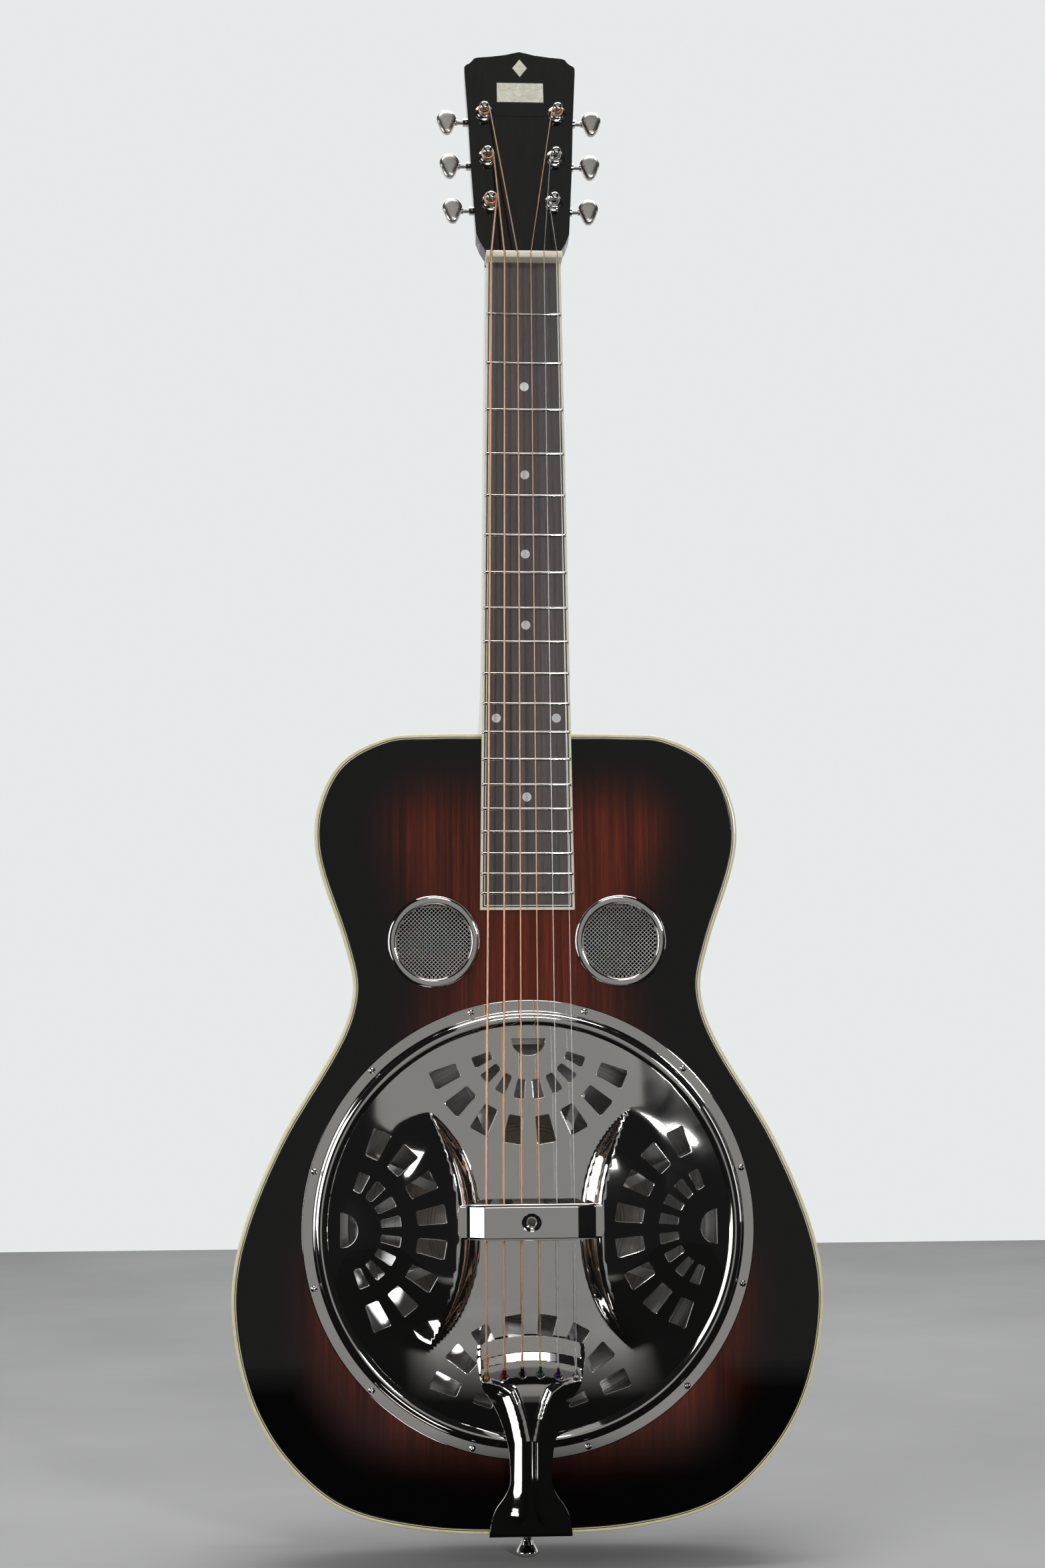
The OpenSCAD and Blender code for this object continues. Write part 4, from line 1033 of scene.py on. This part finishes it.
def make_tuners():
    for k, name in enumerate(TUNER_NAMES):
        make_tuner(name, *tuner_place(k))


def make_tuner(name, side, px, py):
    """The ferrule, the string post and the button of one tuner."""
    def at(x, y, out):
        return head_point(px + x, py + y, out)

    washer = [(6.3, 0.01), (6.3, 0.55), (6.15, 0.8), (5.9, 0.9), (5.0, 0.96), (4.8, 1.1), (4.72, 2.3),
              (4.55, 2.7), (4.2, 2.9), (3.08, 3.0), (3.08, -15), (4.75, -15), (4.75, 0.01)]
    ferrule = piece(f"ferrule_{name}", *lathe(washer, at, 48, closed=True), POST_METAL, "chrome")
    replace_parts(ferrule, "tuner_bushings", "tuner_washers")
    stem = [(0.05, 11), (1.5, 10.95), (2.5, 10.6), (3.05, 10.0), (3.15, 9.4), (2.95, 8.8), (2.5, 8.2),
            (2.4, 7.2), (2.6, 5.4), (2.9, 3.8), (2.95, 3.0), (2.95, -18.9), (0.05, -18.9)]
    post = piece(f"string_post_{name}", *lathe(stem, at, 40), POST_METAL, "chrome",
                 f"tuner_post_{name}")
    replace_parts(post, f"post_{name}")
    make_button(name, side, px, py)


def make_button(name, side, px, py):
    """A thick bean-shaped button on its shaft, with the collar that joins them."""
    def at(u, v, w):
        return head_point(px + side * (BUTTON_OUT + u), py + BUTTON_UP + v, BUTTON_BACK + w)

    loop = curve_through([(u, v) for u, v in BUTTON_SHAPE], 5)
    rings = []
    for w in (-1, -0.985, -0.94, -0.86, -0.7, -0.45, -0.15, 0.15, 0.45, 0.7, 0.86, 0.94, 0.985, 1):
        grow = max(1 - abs(w) ** 4.5, 0.0) ** 0.42 * 0.985 + 0.015
        rings.append([at(u * grow, v * grow, 2.95 * w) for u, v in loop])
    bean = loft(rings)
    collar = lathe([(0.05, -7.2), (2.0, -7.2), (2.3, -6.9), (2.3, -6.2), (1.9, -5.8), (2.1, -5.2),
                    (3.0, -3.4), (0.05, -3.2)], lambda a, b, h: at(h, a, b), 28)
    button = piece(f"tuner_knob_{name}", *join_parts(bean, collar), NICKEL, "nickel_button",
                   f"tuner_button_{name}", sharp=60)
    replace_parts(button, f"button_{name}")


# ---- kept CAD nodes ----
CAD_LOOKS = {
    "linings": RAW_WOOD, "neck_block": RAW_WOOD, "tail_block": RAW_WOOD, "back_braces": RAW_WOOD,
    "soundwell": RAW_WOOD, "cone": ALUMINIUM, "spider_bridge": CAST, "saddles": MAPLE,
    "tension_screw": STEEL, "cover_screws": CHROME, "neck": NECK_WOOD, "heel_cap": BLACK,
    "headstock_veneer": BLACK, "headstock_inlays": PEARL, "fingerboard": ROSEWOOD,
    "fingerboard_binding": BOARD_CREAM, "position_markers": DOT, "nut": BONE,
    "tuner_housings": CHROME, "tuner_screws": CHROME}
ROUNDED_NODES = {"neck": 1.2, "headstock_veneer": 0.5, "nut": 0.5, "tuner_housings": 1.0,
                 "fingerboard_binding": 0.35, "heel_cap": 0.4}


def dress(node, look):
    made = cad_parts[node]
    if made.material_slots:
        for spot in made.material_slots:
            spot.material = look.material
    else:
        made.data.materials.append(look.material)


def round_edges(node, width):
    """Bevels a kept CAD node's sharp edges with modifiers, so its own mesh stays as it is."""
    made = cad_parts[node]
    weld = made.modifiers.new("weld", "WELD")
    weld.merge_threshold = 0.00001
    bevel = made.modifiers.new("edges", "BEVEL")
    bevel.width = width * MM
    bevel.segments = 3
    bevel.limit_method = "ANGLE"
    bevel.angle_limit = math.radians(40)
    bevel.harden_normals = True


def dress_cad_nodes():
    for node, look in CAD_LOOKS.items():
        dress(node, look)
    for name in TUNER_NAMES:
        dress(f"worm_{name}", STEEL)
        dress(f"gear_{name}", BRASS)
    for node, width in ROUNDED_NODES.items():
        round_edges(node, width)


# ---- floor ----
def make_floor():
    """The floor, and two flats on it that only the metal reflects: a black sheet of painted shadow, where
    the guitar's shadow would lie on the floor, with grey painted patches of lit floor, and a bright strip.
    """
    look = Look("pale_floor", (0.50, 0.50, 0.50), 0.6, Specular_IOR_Level=0.0)
    look.drift(look.noise((3, 3, 3), 4), (0.46, 0.46, 0.46), (0.54, 0.54, 0.54))
    half, front, wall, low = 6, -0.9, 1.88, cad_box[0].z - 0.0005
    add_flat("floor", rectangle(-half, front, half, wall), low, look)
    add_flat("floor_front", rectangle(-half, -half, half, front), low, look, lights_metal=False)
    # Painted shadow: this black sheet, which only reflections see, stands in for the guitar's shadow on the
    # floor in front of it; the lane and edge masks paint grey patches of lit floor into it.
    cloth = Look("painted_shadow_sheet", (0.01, 0.01, 0.01), 0.9, Specular_IOR_Level=0.0)
    x, y, _ = cloth.parts()
    black, white = (0, 0, 0), (1, 1, 1)
    ahead = cloth.math("MULTIPLY", y, -1)
    aside = cloth.math("ABSOLUTE", cloth.math("SUBTRACT", x, 0.025))
    wedge = cloth.math("SUBTRACT", aside, cloth.math("MULTIPLY", ahead, 0.17))
    lane = cloth.mix(1.0, cloth.ramp(wedge, (0.04, white), (0.085, black)),
                     cloth.ramp(ahead, (0.36, black), (0.56, white)), "MULTIPLY")
    edge = cloth.mix(1.0, cloth.ramp(ahead, (0.74, black), (0.90, (0.8, 0.8, 0.8))),
                     cloth.ramp(aside, (0.28, white), (0.42, black)), "MULTIPLY")
    share = cloth.mix(1.0, lane, edge, "LIGHTEN")
    # Painted lit floor: the grey that reflections see in the lane and at the far edge of the painted shadow
    # sheet.
    painted_lit_floor = cloth.ramp(cloth.noise((5, 5, 5), 2), (0.3, (0.27, 0.27, 0.265)), (0.7, (0.33, 0.33, 0.32)))
    cloth.colour(cloth.mix(share, (0.008, 0.008, 0.008), painted_lit_floor))
    add_flat("front_painted_shadow", rectangle(-3, front, 3, -0.07), low + 0.004, cloth, seen=False)
    card = Look("white_card", (0.8, 0.8, 0.8), 0.9, Emission_Strength=1.7)
    bright = card.ramp(card.noise((9, 9, 9), 2), (0.3, (0.9, 0.9, 0.9)), (0.7, (1, 1, 1)))
    card.feed_all(card.shader, Emission_Color=bright)
    corners = [(-0.180, -0.205), (-0.150, -0.232), (-0.072, -0.163), (-0.092, -0.140)]
    add_flat("white_strip", corners, low + 0.008, card, seen=False)


def add_flat(name, corners, z, look, seen=True, lights_metal=True):
    """A flat of the set. seen: the camera sees it. lights_metal: reflections see it."""
    mesh = bpy.data.meshes.new(name)
    mesh.from_pydata([(x, y, z) for x, y in corners], [], [(0, 1, 2, 3)])
    mesh.materials.append(look.material)
    flat = new_object(name, mesh)
    flat.visible_camera = seen
    flat.visible_glossy = lights_metal
    flat.visible_shadow = flat.visible_diffuse = seen and lights_metal


make_camera()
make_lights()
make_world()
make_floor()
make_body()
make_cover_plate()
make_handrest()
make_screens()
make_strings()
make_tailpiece()
make_end_pin()
make_frets()
make_board_lines()
make_tuners()
dress_cad_nodes()
